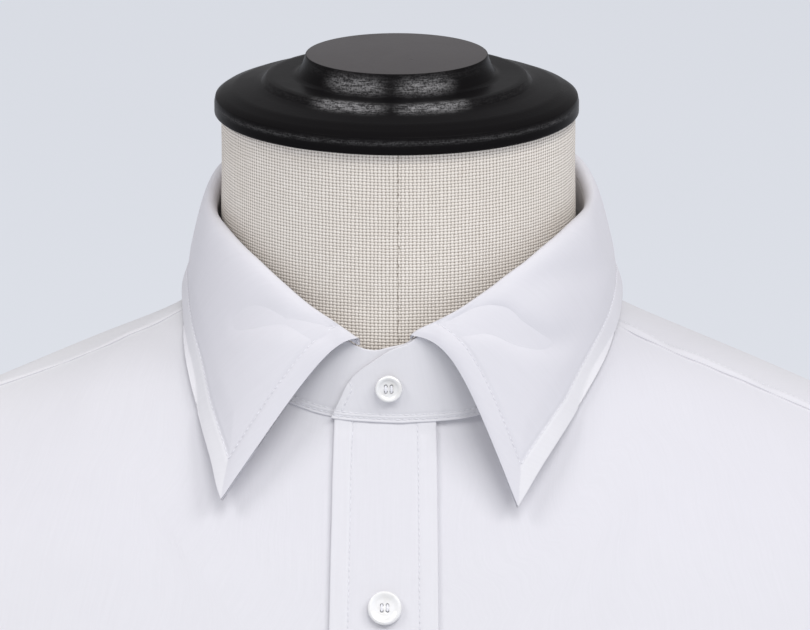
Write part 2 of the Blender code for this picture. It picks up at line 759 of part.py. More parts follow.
def sleeve_angles(side):
    """The angles of the sleeve's columns, which meet those of the yoke and both panels."""
    front = np.linspace(YOKE_FRONT_END[side], 180, ARMHOLE_FRONT_COUNT + 1)
    back = np.linspace(-180, YOKE_BACK_END, ARMHOLE_BACK_COUNT + 1)
    top = np.linspace(YOKE_BACK_END, YOKE_FRONT_END[side], ARMHOLE_TOP_COUNT + 1)
    return np.concatenate([front, back[1:], top[1:-1]])


def build_sleeve(side, name):
    """A sleeve that leaves the armhole level and turns down to hang straight."""
    angles = sleeve_angles(side)
    a = np.radians(angles)
    slope = SHOULDER_SLOPE * ((1 + np.cos(a)) / 2) ** 2
    leave = np.stack([side * np.cos(slope), 0 * slope, -np.sin(slope)], -1)
    start = on_shirt(armhole(side, angles), SHIRT_CLOTH) + leave * SEAM_GAP
    z_level = SLEEVE_SECTIONS[0][0]
    end = sleeve_oval(side, angles, z_level)
    chord = np.linalg.norm(end - start, axis=-1)[:, None]
    leave = leave * chord * (0.85 + 0.35 * np.cos(a))[:, None]
    arrive = np.array([0, 0, -1.2]) * chord
    rings = []
    for t in (0, 0.1, 0.24, 0.42, 0.62, 0.82):
        rings.append((1 + 2 * t) * (1 - t) ** 2 * start + t * (1 - t) ** 2 * leave
                     + t * t * (3 - 2 * t) * end - t * t * (1 - t) * arrive)
    rings += [sleeve_oval(side, angles, z) for z in SLEEVE_LEVELS]
    cloth(name, np.stack(rings), SHIRT_CLOTH, closed=True, flip=side == LEFT)


def build_sleeve_band(side, name):
    """The narrow band over the slit above the cuff, made from the sleeve's surface."""
    columns = np.linspace(-180, YOKE_BACK_END, ARMHOLE_BACK_COUNT + 1)
    under = columns[np.abs(columns - CUFF_OPENING) < 12]
    angles = np.array([CUFF_OPENING - 15, *under, CUFF_OPENING + 15])
    levels = [z for z in SLEEVE_LEVELS if z < SLEEVE_END_Z + SLEEVE_BAND_LENGTH]
    lift = SHIRT_CLOTH + 2 * SEAM_GAP
    grid = np.stack([on_sleeve(side, angles, z, lift) for z in levels])
    grid[-1, :, 2] += MM
    cloth(name, grid, SHIRT_CLOTH, flip=side == LEFT)


def build_cuff(side, name):
    """A cuff whose ends lap, with the button end outside."""
    lap = 30
    step = CUFF_CLOTH + SEAM_GAP + 0.1 * MM
    angles = np.linspace(CUFF_OPENING + lap / 2, CUFF_OPENING - 360 - lap / 2, 32)
    lifted = ease_in((angles[-1] + lap + 46 - angles) / 40) * step
    grid = []
    for z in np.linspace(SLEEVE_END_Z, SLEEVE_END_Z - CUFF_HEIGHT, 3):
        ring = on_sleeve(side, angles, SLEEVE_END_Z - CUFF_HEIGHT, lifted + CUFF_CLOTH - SHIRT_CLOTH)
        ring[:, 2] = z
        grid.append(ring)
    cloth(name, np.stack(grid), CUFF_CLOTH, flip=side == RIGHT)


def button_mesh(name, radius):
    """A round button with a dished middle, its back on the XY plane."""
    mesh = bpy.data.meshes.new(name)
    form = bmesh.new()
    bmesh.ops.create_cone(form, cap_ends=True, segments=12, radius1=radius * 0.88, radius2=radius,
                          depth=BUTTON_THICKNESS,
                          matrix=Matrix.Translation((0, 0, BUTTON_THICKNESS / 2)))
    top = max(form.faces, key=lambda f: f.calc_center_median().z)
    bmesh.ops.inset_individual(form, faces=[top], thickness=radius * 0.3, depth=-0.6 * MM)
    form.to_mesh(mesh)
    form.free()
    return mesh


def place_button(name, mesh, piece, point, facing):
    """A button near a point, facing outward, set down on a piece of cloth."""
    facing = Vector(facing)
    turn = facing.to_track_quat("Z", "Y")
    radius = max(v.co.x for v in mesh.vertices)
    cloth_mesh = piece.data
    tree = BVHTree.FromPolygons([v.co for v in cloth_mesh.vertices],
                                [p.vertices for p in cloth_mesh.polygons])
    offsets = [Vector((0, 0, 0))]
    for i in range(8):
        offsets.append(Vector((radius * math.cos(i * math.pi / 4),
                               radius * math.sin(i * math.pi / 4), 0)))
    rise = []
    for offset in offsets:
        start = Vector(point) + turn @ offset + facing * 8 * MM
        hit = tree.ray_cast(start, -facing, 16 * MM)[0]
        if hit is not None:
            rise.append((hit - Vector(point)).dot(facing))
    made = add_object(name, mesh, PEARL)
    made.location = Vector(point) + facing * (max(rise) + SEAM_GAP)
    made.rotation_euler = turn.to_euler()


def build_buttons():
    """The buttons of the band, the collar stand, the cuffs and the sleeve bands."""
    large = button_mesh("shirt_button", BUTTON_RADIUS)
    small = button_mesh("sleeve_button", SMALL_BUTTON_RADIUS)
    pieces = bpy.data.objects
    for i in range(BUTTON_COUNT):
        z = height(FIRST_BUTTON_DROP + i * BUTTON_SPACING)
        seat = np.array([FRONT_CENTRE_X, -SHIRT.oval(z)[1], z])
        point = on_shirt(seat, 2 * SHIRT_CLOTH)
        facing = unit(SHIRT.slope(SHIRT.settle(seat)))
        place_button(f"button_{i + 1}", large, pieces["button_band"], point, facing)

    angle = seam_angle(FRONT_CENTRE_X)
    low, high = neck_seam(angle), stand_top(angle)
    rise = unit(high - low)
    facing = unit(np.cross(rise, np.cross(ring_way(angle), rise)))
    point = (low + high) / 2 + ring_way(angle) * 2 * COLLAR_CLOTH
    place_button("collar_button", small, pieces["collar_stand"], point, facing)

    places = (("cuff", SLEEVE_END_Z - CUFF_HEIGHT / 2),
              ("sleeve_band", SLEEVE_END_Z + SLEEVE_BAND_LENGTH / 2))
    for side, word in ((LEFT, "left"), (RIGHT, "right")):
        for kind, z in places:
            level = max(z, SLEEVE_END_Z - CUFF_HEIGHT)
            point = on_sleeve(side, CUFF_OPENING, level, 2 * MM)
            facing = unit(point - on_sleeve(side, CUFF_OPENING, level, 0.0))
            facing[2] = 0
            piece = pieces[f"{kind}_{word}"]
            place_button(f"{kind}_button_{word}", small, piece, point, unit(facing))


def build_form():
    """The dress form: torso and neck, neck cap, pole and base."""
    drops = [row[0] for row in FORM_SECTIONS]
    levels = height(np.array(sorted(drops + [120, 290, 380, 465])))
    angles = np.arange(FORM_SIDES) * 360 / FORM_SIDES
    rings = np.stack([FORM.around(angles, z) for z in levels])
    mesh = bpy.data.meshes.new("form_torso")
    count = FORM_SIDES
    faces = [tuple(range(count)), tuple(reversed(range((len(rings) - 1) * count, len(rings) * count)))]
    for r in range(len(rings) - 1):
        for c in range(count):
            d = (c + 1) % count
            faces.append((r * count + c, (r + 1) * count + c, (r + 1) * count + d, r * count + d))
    mesh.from_pydata(rings.reshape(-1, 3).tolist(), [], faces)
    add_object("form_torso", mesh, LINEN)

    seat = height(CAP_SEAT_DROP) + SEAM_GAP
    cap_outline = ((0, 20.5), (30.6, 20.5), (32.0, 19.2), (32.6, 14.4), (34.5, 12.9),
                   (42.8, 12.6), (44.4, 11.2), (45.0, 8.3), (48.0, 7.6), (61.8, 5.6),
                   (63.4, 4.0), (63.4, 0.9), (62.4, 0), (0, 0))
    turned("form_cap", [(r * MM, seat + z * MM) for r, z in cap_outline], 36, BLACK_WOOD)

    torso_bottom = height(FORM_SECTIONS[-1][0])
    pole_top = torso_bottom - SEAM_GAP
    pole_bottom = BASE_HEIGHT + SEAM_GAP
    collar = POLE_RADIUS * 1.9
    pole_outline = ((0, pole_top), (collar, pole_top), (collar, pole_top - 9 * MM),
                    (POLE_RADIUS, pole_top - 15 * MM), (POLE_RADIUS, pole_bottom + 20 * MM),
                    (collar, pole_bottom + 8 * MM), (collar, pole_bottom), (0, pole_bottom))
    turned("form_pole", pole_outline, 24, BLACK_WOOD)
    base_outline = ((0, BASE_HEIGHT), (60 * MM, BASE_HEIGHT), (130 * MM, 18 * MM),
                    (BASE_RADIUS - 3 * MM, 14 * MM), (BASE_RADIUS, 11 * MM),
                    (BASE_RADIUS, 2 * MM), (BASE_RADIUS - 2 * MM, 0), (0, 0))
    turned("form_base", base_outline, 40, BLACK_WOOD)


def main():
    for old in list(bpy.data.objects):
        bpy.data.objects.remove(old)
    build_form()
    build_fronts()
    build_yoke()
    build_back()
    build_stand()
    build_leaf()
    for side, word in ((LEFT, "left"), (RIGHT, "right")):
        build_sleeve(side, f"sleeve_{word}")
        build_sleeve_band(side, f"sleeve_band_{word}")
        build_cuff(side, f"cuff_{word}")
    build_buttons()


main()
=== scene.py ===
"""The looks of a man's white point-collar shirt on a countertop dress form.

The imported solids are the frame. Each cloth piece here is a finer wall on the same surface as its
solid, with its seams, stitching and creases. Left and right are the wearer's, so the left front
lies at +X. The front faces -Y, +Z is up, and all lengths are metres unless a name says otherwise.
"""

from __future__ import annotations

import logging
import math
import sys
from dataclasses import dataclass, field
from enum import Enum
from typing import Optional, Sequence

import bpy
import numpy as np
from mathutils import Matrix, Vector


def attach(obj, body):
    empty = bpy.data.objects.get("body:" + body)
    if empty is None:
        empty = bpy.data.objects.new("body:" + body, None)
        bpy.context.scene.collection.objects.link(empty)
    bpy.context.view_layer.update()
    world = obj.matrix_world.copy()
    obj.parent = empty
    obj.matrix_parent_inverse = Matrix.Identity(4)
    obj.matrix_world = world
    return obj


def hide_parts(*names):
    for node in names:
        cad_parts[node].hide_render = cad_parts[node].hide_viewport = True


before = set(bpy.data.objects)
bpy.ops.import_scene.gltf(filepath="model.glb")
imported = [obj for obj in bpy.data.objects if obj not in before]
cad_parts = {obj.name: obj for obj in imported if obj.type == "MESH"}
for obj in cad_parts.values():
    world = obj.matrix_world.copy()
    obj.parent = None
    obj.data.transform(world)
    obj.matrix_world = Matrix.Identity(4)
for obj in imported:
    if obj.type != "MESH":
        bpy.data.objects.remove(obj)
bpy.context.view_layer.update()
LOG = logging.getLogger("shirt")

Array = np.ndarray
MM = 0.001
BODY = "root"

# The picture's width in pixels
PICTURE_WIDTH = 810


class Side(Enum):
    """The wearer's left or right, as the sign of X."""

    LEFT = 1
    RIGHT = -1

    @property
    def word(self) -> str:
        """The side's name as the nodes spell it."""
        return self.name.lower()


class Border(Enum):
    """The four borders of a panel's grid."""

    TOP = "first row"
    BOTTOM = "last row"
    FIRST = "first column"
    LAST = "last column"


class Held(Enum):
    """How a sheet of cloth is held."""

    HUNG = "hung"
    FOLDED = "folded"
    STRETCHED = "stretched"


def link(name: str, data: bpy.types.ID) -> bpy.types.Object:
    """Adds an object with the given data to the scene."""
    made = bpy.data.objects.new(name, data)
    bpy.context.scene.collection.objects.link(made)
    return made


# Small helpers for numbers and curves


def smooth(at: Array, knots: Sequence[float], values: Sequence[float]) -> Array:
    """A curve through a table's rows that never overshoots a row.

    Args:
        at: Where to read the curve.
        knots: The rows' places, rising.
        values: The rows' values.

    Returns:
        The curve's values, with the ends held level outside the table.
    """
    knots = np.asarray(knots, float)
    values = np.asarray(values, float)
    widths = np.diff(knots)
    rises = np.diff(values) / widths
    before, after = rises[:-1], rises[1:]
    same_way = before * after > 0
    total = np.where(same_way, before + after, 1.0)
    middle = np.where(same_way, 2 * before * after / total, 0.0)
    slopes = np.concatenate([rises[:1], middle, rises[-1:]])
    at = np.clip(np.asarray(at, float), knots[0], knots[-1])
    i = np.clip(np.searchsorted(knots, at, side="right") - 1, 0, len(knots) - 2)
    t = (at - knots[i]) / widths[i]
    start = (1 + 2 * t) * (1 - t) ** 2 * values[i] + t * (1 - t) ** 2 * widths[i] * slopes[i]
    end = t * t * (3 - 2 * t) * values[i + 1] - t * t * (1 - t) * widths[i] * slopes[i + 1]
    return start + end


def ease_in(t: Array) -> Array:
    """A soft step: 0 below 0 and 1 above 1."""
    t = np.clip(t, 0, 1)
    return t * t * (3 - 2 * t)


def bell(distance: Array, half_width: float) -> Array:
    """A soft bump, 1 at no distance."""
    return np.exp(-((distance / half_width) ** 2))


def unit(vectors: Array) -> Array:
    """The vectors at length 1."""
    return vectors / np.maximum(np.linalg.norm(vectors, axis=-1, keepdims=True), 1e-12)


def from_front(angle: Array) -> Array:
    """How far an angle in degrees is from the front, either way."""
    return np.abs((np.asarray(angle, float) + 180) % 360 - 180)


def line(start: Array, end: Array, count: int) -> Array:
    """Points along a straight line, one more than the count."""
    share = np.linspace(0, 1, count + 1)[:, None]
    return np.asarray(start) * (1 - share) + np.asarray(end) * share


def join(*edges: Array) -> Array:
    """Edges end to end, with the shared points kept once."""
    return np.concatenate([edges[0]] + [edge[1:] for edge in edges[1:]])


def read_along(points: Array, shares: Array) -> Array:
    """Points at shares of a dense line's count of steps."""
    at = np.asarray(shares, float) * (len(points) - 1)
    i = np.clip(at.astype(int), 0, len(points) - 2)
    t = (at - i)[:, None]
    return points[i] * (1 - t) + points[i + 1] * t


def lengths(points: Array) -> Array:
    """How far along a line each of its points lies."""
    steps = np.linalg.norm(np.diff(points, axis=0), axis=-1)
    return np.concatenate([[0.0], np.cumsum(steps)])


def graded(length: float, step: float, fine: float, start: float = 0.0, end: float = 0.0) -> Array:
    """Shares along a length, close together near its ends.

    Args:
        length: The whole length.
        step: The spacing in the middle.
        fine: The spacing near the ends.
        start: How much of the start is fine.
        end: How much of the end is fine.

    Returns:
        Rising shares from 0 to 1.
    """
    first = np.arange(0, start, fine)
    last = length - np.arange(0, end, fine)
    count = max(2, round((length - start - end) / step) + 1)
    middle = np.linspace(start, length - end, count)
    places = np.unique(np.round(np.concatenate([first, middle, last]), 7))
    return places / places[-1]


def patch(top: Array, bottom: Array, first: Array, last: Array, u: Array, v: Array) -> Array:
    """A grid inside four edges.

    Args:
        top: The dense edge of the first row.
        bottom: The dense edge of the last row.
        first: The dense edge of the first column.
        last: The dense edge of the last column.
        u: Shares along the rows.
        v: Shares down the columns.

    Returns:
        Points by row and column.
    """
    top, bottom = read_along(top, u), read_along(bottom, u)
    first, last = read_along(first, v), read_along(last, v)
    across_share = np.asarray(u)[None, :, None]
    down_share = np.asarray(v)[:, None, None]
    down = top[None] * (1 - down_share) + bottom[None] * down_share
    across = first[:, None] * (1 - across_share) + last[:, None] * across_share
    corners = ((top[0] * (1 - across_share) + top[-1] * across_share) * (1 - down_share)
               + (bottom[0] * (1 - across_share) + bottom[-1] * across_share) * down_share)
    return down + across - corners


def grid_normals(grid: Array, closed: bool, flip: bool) -> Array:
    """The outward direction at each point of a grid.

    Args:
        grid: Points by row and column.
        closed: Whether the last column meets the first.
        flip: Whether the columns run to the wearer's right as seen from outside.

    Returns:
        Unit vectors by row and column.
    """
    down = np.gradient(grid, axis=0)
    if closed:
        across = (np.roll(grid, -1, 1) - np.roll(grid, 1, 1)) / 2
    else:
        across = np.gradient(grid, axis=1)
    facing = unit(np.cross(down, across))
    return -facing if flip else facing


# The form's and the shirt's surface, which the solids share


@dataclass(frozen=True)
class Levels:
    """Heights above the floor. A drop is a distance in millimetres below the neck point."""

    neck_point: float = 0.890
    shoulder_drop: float = 66
    underarm_drop: float = 232
    hem_side_drop: float = 690
    hem_front_drop: float = 742
    hem_back_drop: float = 762
    sleeve_end: float = 0.280
    cuff_height: float = 64 * MM

    def height(self, drop: Array) -> Array:
        """The height above the floor of a drop."""
        return self.neck_point - np.asarray(drop, float) * MM

    def drop(self, z: Array) -> Array:
        """The drop of a height."""
        return (self.neck_point - np.asarray(z, float)) / MM


LEVELS = Levels()


@dataclass(frozen=True)
class OvalForm:
    """A form whose level sections are ovals.

    Each row of sections has a drop, then half width, front depth and back depth in millimetres,
    and how square the oval is, from 2 for an ellipse.
    """

    sections: tuple = (
        (-64, 61.5, 61.5, 61.5, 2.0),
        (-30, 61.5, 61.5, 61.5, 2.0),
        (-12, 61.8, 61.6, 62.0, 2.0),
        (-6, 62.6, 62.0, 62.8, 2.0),
        (-2, 64.2, 62.3, 64.0, 2.0),
        (3, 68.4, 62.7, 66.0, 2.0),
        (9.5, 78.0, 63.6, 69.5, 2.0),
        (16, 90.4, 64.0, 72.4, 2.0),
        (22, 103.5, 64.8, 75.6, 2.0),
        (29.5, 120.6, 66.8, 80.2, 2.0),
        (37, 137.2, 70.0, 85.2, 2.0),
        (48, 161.4, 75.4, 90.8, 2.0),
        (58, 182.8, 81.2, 95.6, 2.05),
        (65, 194.4, 85.6, 99.0, 2.1),
        (73, 200.8, 89.6, 101.8, 2.15),
        (82, 203.8, 94.0, 104.8, 2.2),
        (100, 205.5, 102.0, 109.8, 2.3),
        (150, 203.0, 118.0, 117.0, 2.4),
        (200, 193.0, 124.5, 117.0, 2.4),
        (250, 181.0, 125.0, 112.0, 2.35),
        (330, 161.0, 117.0, 99.0, 2.3),
        (430, 147.0, 105.0, 88.0, 2.25),
        (500, 155.0, 106.0, 97.0, 2.25),
        (560, 165.0, 108.0, 107.0, 2.3),
        (612, 169.0, 107.0, 110.0, 2.3),
        (620, 166.5, 104.5, 107.5, 2.3),
    )

    def oval(self, z: Array) -> tuple:
        """Half width, front depth, back depth and squareness of the oval at a height."""
        columns = np.array(self.sections).T
        drop = LEVELS.drop(z)
        width, front, back, power = (smooth(drop, columns[0], c) for c in columns[1:])
        return width * MM, front * MM, back * MM, power

    def level(self, points: Array) -> Array:
        """0 on the surface, below 0 inside it."""
        x, y, z = np.moveaxis(points, -1, 0)
        width, front, back, power = self.oval(z)
        depth = np.where(y < 0, front, back)
        return (np.abs(x / width) ** power + np.abs(y / depth) ** power) ** (1 / power) - 1

    def slope(self, points: Array) -> Array:
        """How fast the level rises along X, Y and Z."""
        step = 0.05 * MM
        ways = np.eye(3) * step
        rises = [(self.level(points + w) - self.level(points - w)) / (2 * step) for w in ways]
        return np.stack(rises, -1)

    def settle(self, points: Array) -> Array:
        """The points moved onto the surface."""
        points = np.array(points, float)
        for _ in range(6):
            slope = self.slope(points)
            shift = self.level(points) / (slope ** 2).sum(-1)
            points = points - shift[..., None] * slope
        return points

    def facing(self, points: Array) -> Array:
        """The outward direction at points on the surface."""
        return unit(self.slope(points))

    def around(self, angle: Array, z: Array) -> Array:
        """The point at an angle in degrees from the front, at a height."""
        a = np.radians(np.asarray(angle, float))
        width, front, back, power = self.oval(z)
        depth = np.where(np.cos(a) > 0, front, back)
        x = width * np.sign(np.sin(a)) * np.abs(np.sin(a)) ** (2 / power)
        y = -depth * np.sign(np.cos(a)) * np.abs(np.cos(a)) ** (2 / power)
        return np.stack([x, y, z + 0 * x], -1)

    def side_point(self, side: Side, y: Array, z: Array) -> Array:
        """The surface point on one side at a given depth and height."""
        width, front, back, power = self.oval(z)
        depth = np.where(y < 0, front, back)
        x = side.value * width * (1 - np.abs(y / depth) ** power) ** (1 / power)
        return np.stack([x, y, z], -1)


@dataclass(frozen=True)
class ShirtSurface(OvalForm):
    """The inside of the shirt's body.

    Each row of ease is a drop, then how far the shirt stands off the form at the side, the front
    and the back, in millimetres. Each row of folds is a soft lengthwise fold: the angle round the
    body from the front, the half width in degrees, the height of the ridge (negative for a
    trough) in millimetres, the drop where it starts and the drop where it is full.
    """

    ease: tuple = (
        (-12, 1.0, 0.6, 0.8),
        (0, 1.6, 0.8, 1.0),
        (10, 2.3, 1.2, 1.4),
        (24, 4.3, 3.1, 2.8),
        (60, 6.3, 5.6, 3.9),
        (70, 6.8, 5.8, 4.2),
        (82, 7.8, 6.0, 4.6),
        (100, 8.5, 6.0, 5.2),
        (150, 7.5, 3.5, 5.5),
        (200, 11.0, 6.0, 9.0),
        (250, 18.0, 8.0, 13.0),
        (330, 30.0, 14.0, 20.0),
        (430, 40.0, 22.0, 29.0),
        (500, 35.0, 21.0, 24.0),
        (560, 29.0, 20.0, 20.0),
        (612, 31.5, 24.0, 21.0),
        (620, 34.5, 26.8, 23.8),
        (770, 44.0, 33.0, 32.0),
    )
    folds: tuple = (
        (-66, 13, 9.0, 225, 440),
        (-40, 11, -6.0, 260, 520),
        (-21, 9, 4.0, 340, 640),
        (26, 10, 5.0, 300, 600),
        (48, 11, -7.0, 240, 500),
        (70, 12, 9.0, 225, 430),
        (96, 11, -5.0, 240, 430),
        (120, 12, 12.0, 130, 400),
        (143, 11, -8.0, 130, 420),
        (165, 11, 8.0, 140, 460),
        (-173, 10, -6.0, 200, 520),
        (-152, 11, 10.0, 130, 440),
        (-130, 10, -7.0, 130, 400),
        (-109, 12, 11.0, 140, 420),
    )

    def oval(self, z: Array) -> tuple:
        """The form's oval at a height, with the shirt's ease added."""
        width, front, back, power = super().oval(z)
        columns = np.array(self.ease).T
        side, fore, aft = (smooth(LEVELS.drop(z), columns[0], c) * MM for c in columns[1:])
        return width + side, front + fore, back + aft, power

    def fold(self, points: Array) -> Array:
        """How far the lengthwise folds stand out at each point."""
        angle = np.degrees(np.arctan2(points[..., 0], -points[..., 1]))
        drop = LEVELS.drop(points[..., 2])
        total = np.zeros(points.shape[:-1])
        for middle, half_width, ridge, start, full in self.folds:
            away = (angle - middle + 180) % 360 - 180
            swell = ease_in((drop - start) / (full - start))
            total = total + ridge * MM * swell * bell(away, half_width)
        return total

    def keep_off(self, points: Array, out: float) -> Array:
        """The points, with those nearer than a distance to the inside of the shirt moved out."""
        slope = self.slope(points)
        steep = np.linalg.norm(slope, axis=-1)
        short = np.maximum(out - self.level(points) / steep, 0)
        return points + slope * (short / steep)[..., None]


FORM = OvalForm()
SHIRT = ShirtSurface()


@dataclass(frozen=True)
class Crease:
    """A soft trough or ridge between two places on a surface that is laid out flat.

    Places are pairs in millimetres: round the body from the front, and down from the neck point,
    or round the sleeve from its outer line, and down from its top.
    """

    start: tuple
    end: tuple
    half_width: float
    rise: float

    def height(self, across: Array, down: Array) -> Array:
        """How far the crease stands out, in metres, at places laid out flat."""
        way = np.subtract(self.end, self.start)
        span = float(way @ way)
        share = ((across - self.start[0]) * way[0] + (down - self.start[1]) * way[1]) / span
        near = np.clip(share, 0, 1)
        off = np.hypot(across - self.start[0] - near * way[0], down - self.start[1] - near * way[1])
        fade = np.sin(math.pi * np.clip(near, 0.04, 0.96)) ** 0.7
        return self.rise * MM * fade * bell(off, self.half_width)


# Sizes of the cut, as the solids have them


@dataclass(frozen=True)
class Cut:
    """The shirt's seams and wall thicknesses."""

    gap: float = 0.3 * MM
    cloth: float = 1.0 * MM
    collar_cloth: float = 1.2 * MM
    cuff_cloth: float = 1.4 * MM
    front_centre: float = -4.5 * MM
    band_half_width: float = 17 * MM
    underlap: float = 10.5 * MM
    neck_rows: tuple = ((0, 26.0), (9, 25.2), (26, 18.3), (48, 7.0), (70, 0.0), (90, -2.0),
                        (115, -6.0), (180, -11.0))
    armhole_y: float = 3 * MM
    armhole_half_depth: float = 60 * MM
    yoke_back_end: float = -46
    yoke_back_drop: float = 88
    row_sag: float = 105

    @property
    def band_right(self) -> float:
        """The band's free edge."""
        return self.front_centre - self.band_half_width

    @property
    def band_left(self) -> float:
        """The band's sewn edge."""
        return self.front_centre + self.band_half_width

    def yoke_front_start(self, side: Side) -> float:
        """Where the yoke's front seam leaves the neck, as an angle from the front."""
        return 73.5 if side is Side.LEFT else 84

    def yoke_front_end(self, side: Side) -> float:
        """Where the yoke's front seam meets the armhole, as an angle from its top."""
        return 20 if side is Side.LEFT else -8

    def neck_seam(self, angle: Array) -> Array:
        """The seam between the shirt and its collar stand, at an angle from the front."""
        drop = smooth(from_front(angle), *zip(*self.neck_rows))
        return SHIRT.around(angle, LEVELS.height(drop))

    def seam_angle(self, x: float) -> float:
        """The angle of the front neck seam at a distance from the form's middle."""
        width = SHIRT.oval(LEVELS.height(self.neck_rows[0][1]))[0]
        return math.degrees(math.asin(x / width))

    def armhole(self, side: Side, angles: Array) -> Array:
        """The armhole seam at angles from its top, where the front is positive."""
        a = np.radians(np.asarray(angles, float))
        half_height = (LEVELS.underarm_drop - LEVELS.shoulder_drop) / 2
        y = self.armhole_y - self.armhole_half_depth * np.sin(a)
        z = LEVELS.height(LEVELS.shoulder_drop + half_height * (1 - np.cos(a)))
        return SHIRT.side_point(side, y, z)

    def hem(self, angles: Array) -> Array:
        """The hem, which is longest at the middle of the front and of the back."""
        a = np.radians(np.asarray(angles, float))
        longest = np.where(np.cos(a) > 0, LEVELS.hem_front_drop, LEVELS.hem_back_drop)
        drop = LEVELS.hem_side_drop + (longest - LEVELS.hem_side_drop) * np.abs(np.cos(a)) ** 1.4
        return SHIRT.around(angles, LEVELS.height(drop))

    def hem_angle(self, x: float) -> float:
        """The angle of the front hem at a distance from the form's middle."""
        return math.degrees(math.asin(x / SHIRT.oval(LEVELS.height(LEVELS.hem_front_drop))[0]))

    def side_seam(self, side: Side, count: int) -> Array:
        """The seam from the underarm to the hem."""
        return line(self.armhole(side, 180), self.hem(90 * side.value), count)

    def yoke_front_seam(self, side: Side, count: int) -> Array:
        """The seam between yoke and front."""
        start = self.neck_seam(self.yoke_front_start(side) * side.value)
        return SHIRT.settle(line(start, self.armhole(side, self.yoke_front_end(side)), count))

    def yoke_back_seam(self, count: int) -> Array:
        """The seam below the yoke, from the left armhole across the back to the right one."""
        start = self.armhole(Side.LEFT, self.yoke_back_end)
        end = self.armhole(Side.RIGHT, self.yoke_back_end)
        middle = SHIRT.around(180, LEVELS.height(self.yoke_back_drop))
        share = np.linspace(-1, 1, count + 1)[:, None]
        bow = 1 - share ** 2
        across = start * (1 - share) / 2 + end * (1 + share) / 2
        across[:, 1:2] = start[1] + bow * (middle[1] - start[1])
        across[:, 2:3] += bow * (middle[2] - start[2])
        return SHIRT.settle(across)

    def front_line(self, x: float, armhole_count: int, side_count: int) -> Array:
        """A line down the front at a distance from the form's middle."""
        top = self.neck_seam(self.seam_angle(x))
        bottom = self.hem(self.hem_angle(x))
        bottom[0] = x
        chest = np.array([x, top[1], LEVELS.height(LEVELS.underarm_drop + self.row_sag)])
        return join(line(top, chest, armhole_count), line(chest, bottom, side_count))


CUT = Cut()

# How the panels' edges divide: steps on the neck, the yoke seam, the armhole and the side seam
NECK_STEPS = 5
YOKE_STEPS = 7
TOP_STEPS = 6
FRONT_STEPS = 9
BACK_STEPS = 7
SIDE_STEPS = 12
BACK_WIDTH_STEPS = 18
DENSE = 24


# Cloth as a wall with two faces and a rounded rim


def border_of(grid: Array, border: Border) -> Array:
    """The points of one border of a grid."""
    picks = {Border.TOP: grid[0], Border.BOTTOM: grid[-1],
             Border.FIRST: grid[:, 0], Border.LAST: grid[:, -1]}
    return picks[border]


def distance_to(points: Array, edge: Array, reach: float) -> tuple:
    """How far points lie from a line of points, and how far along it.

    Args:
        points: Points by row and column.
        edge: The line's points.
        reach: The distance past which no answer is needed.

    Returns:
        The distances, with the reach where they would be more, and the places along the line.
    """
    flat = points.reshape(-1, 3)
    far = np.full(len(flat), reach)
    place = np.zeros(len(flat))
    low, high = edge.min(0) - reach, edge.max(0) + reach
    near = np.nonzero(np.all((flat > low) & (flat < high), axis=1))[0]
    starts, ways = edge[:-1], np.diff(edge, axis=0)
    spans = np.maximum((ways ** 2).sum(-1), 1e-16)
    along = lengths(edge)
    for chunk in np.array_split(near, max(1, len(near) * len(ways) // 2_000_000)):
        off = flat[chunk][:, None] - starts[None]
        share = np.clip((off * ways[None]).sum(-1) / spans, 0, 1)
        gaps = np.linalg.norm(off - share[..., None] * ways[None], axis=-1)
        best = gaps.argmin(1)
        rows = np.arange(len(chunk))
        far[chunk] = np.minimum(gaps[rows, best], reach)
        place[chunk] = along[best] + share[rows, best] * np.sqrt(spans[best])
    return far.reshape(points.shape[:-1]), place.reshape(points.shape[:-1])


@dataclass(frozen=True)
class Seam:
    """A sewn edge: a raised band along a border, a stitched groove and some pucker.

    The band's share of the border runs from start to end. Lengths are in millimetres. Each row of
    humps has the places along the seam where a long pucker starts and ends, how far from the seam
    it starts and ends, its half width and its rise.
    """

    border: Border
    width: float = 6.0
    rise: float = 0.25
    groove: float = 0.18
    pucker: float = 0.0
    pucker_pitch: float = 9.0
    start: float = 0.0
    end: float = 1.0
    lines: tuple = (0.0,)
    humps: tuple = ()

    def span(self, grid: Array) -> Array:
        """The seam's stretch of its border."""
        edge = border_of(grid, self.border)
        last = len(edge) - 1
        return edge[int(round(self.start * last)):int(round(self.end * last)) + 1]

    def height(self, points: Array, edge: Array) -> tuple:
        """How far the seam lifts or sinks the cloth.

        Args:
            points: Points by row and column.
            edge: The seam's line of points.

        Returns:
            The heights in metres, how many extra layers lie there from 0 to 1, and the distances.
        """
        far, along = distance_to(points, edge, (self.width + 14) * MM)
        off, place = far / MM, along / MM
        band = 1 - ease_in((off - self.width + 0.3) / 0.9)
        total = self.rise * band
        for step in self.lines:
            total = total - self.groove * bell(off - self.width + step, 0.55)
        if self.pucker:
            wander = 1.9 * np.sin(place / 31.0) + 1.3 * np.sin(place / 12.7 + 1.0)
            wave = np.sin(2 * math.pi * place / self.pucker_pitch + wander)
            strength = 0.62 + 0.38 * np.sin(place / 23.0 + 0.7)
            total = total + self.pucker * strength * wave * bell(off - self.width * 0.6, self.width)
        for first, last, near, away, half_width, rise in self.humps:
            share = np.clip((place - first) / (last - first), 0, 1)
            middle = near + (away - near) * share
            swell = np.sin(math.pi * share) ** 0.6
            total = total + rise * swell * bell(off - middle, half_width)
        return total * MM, band, far


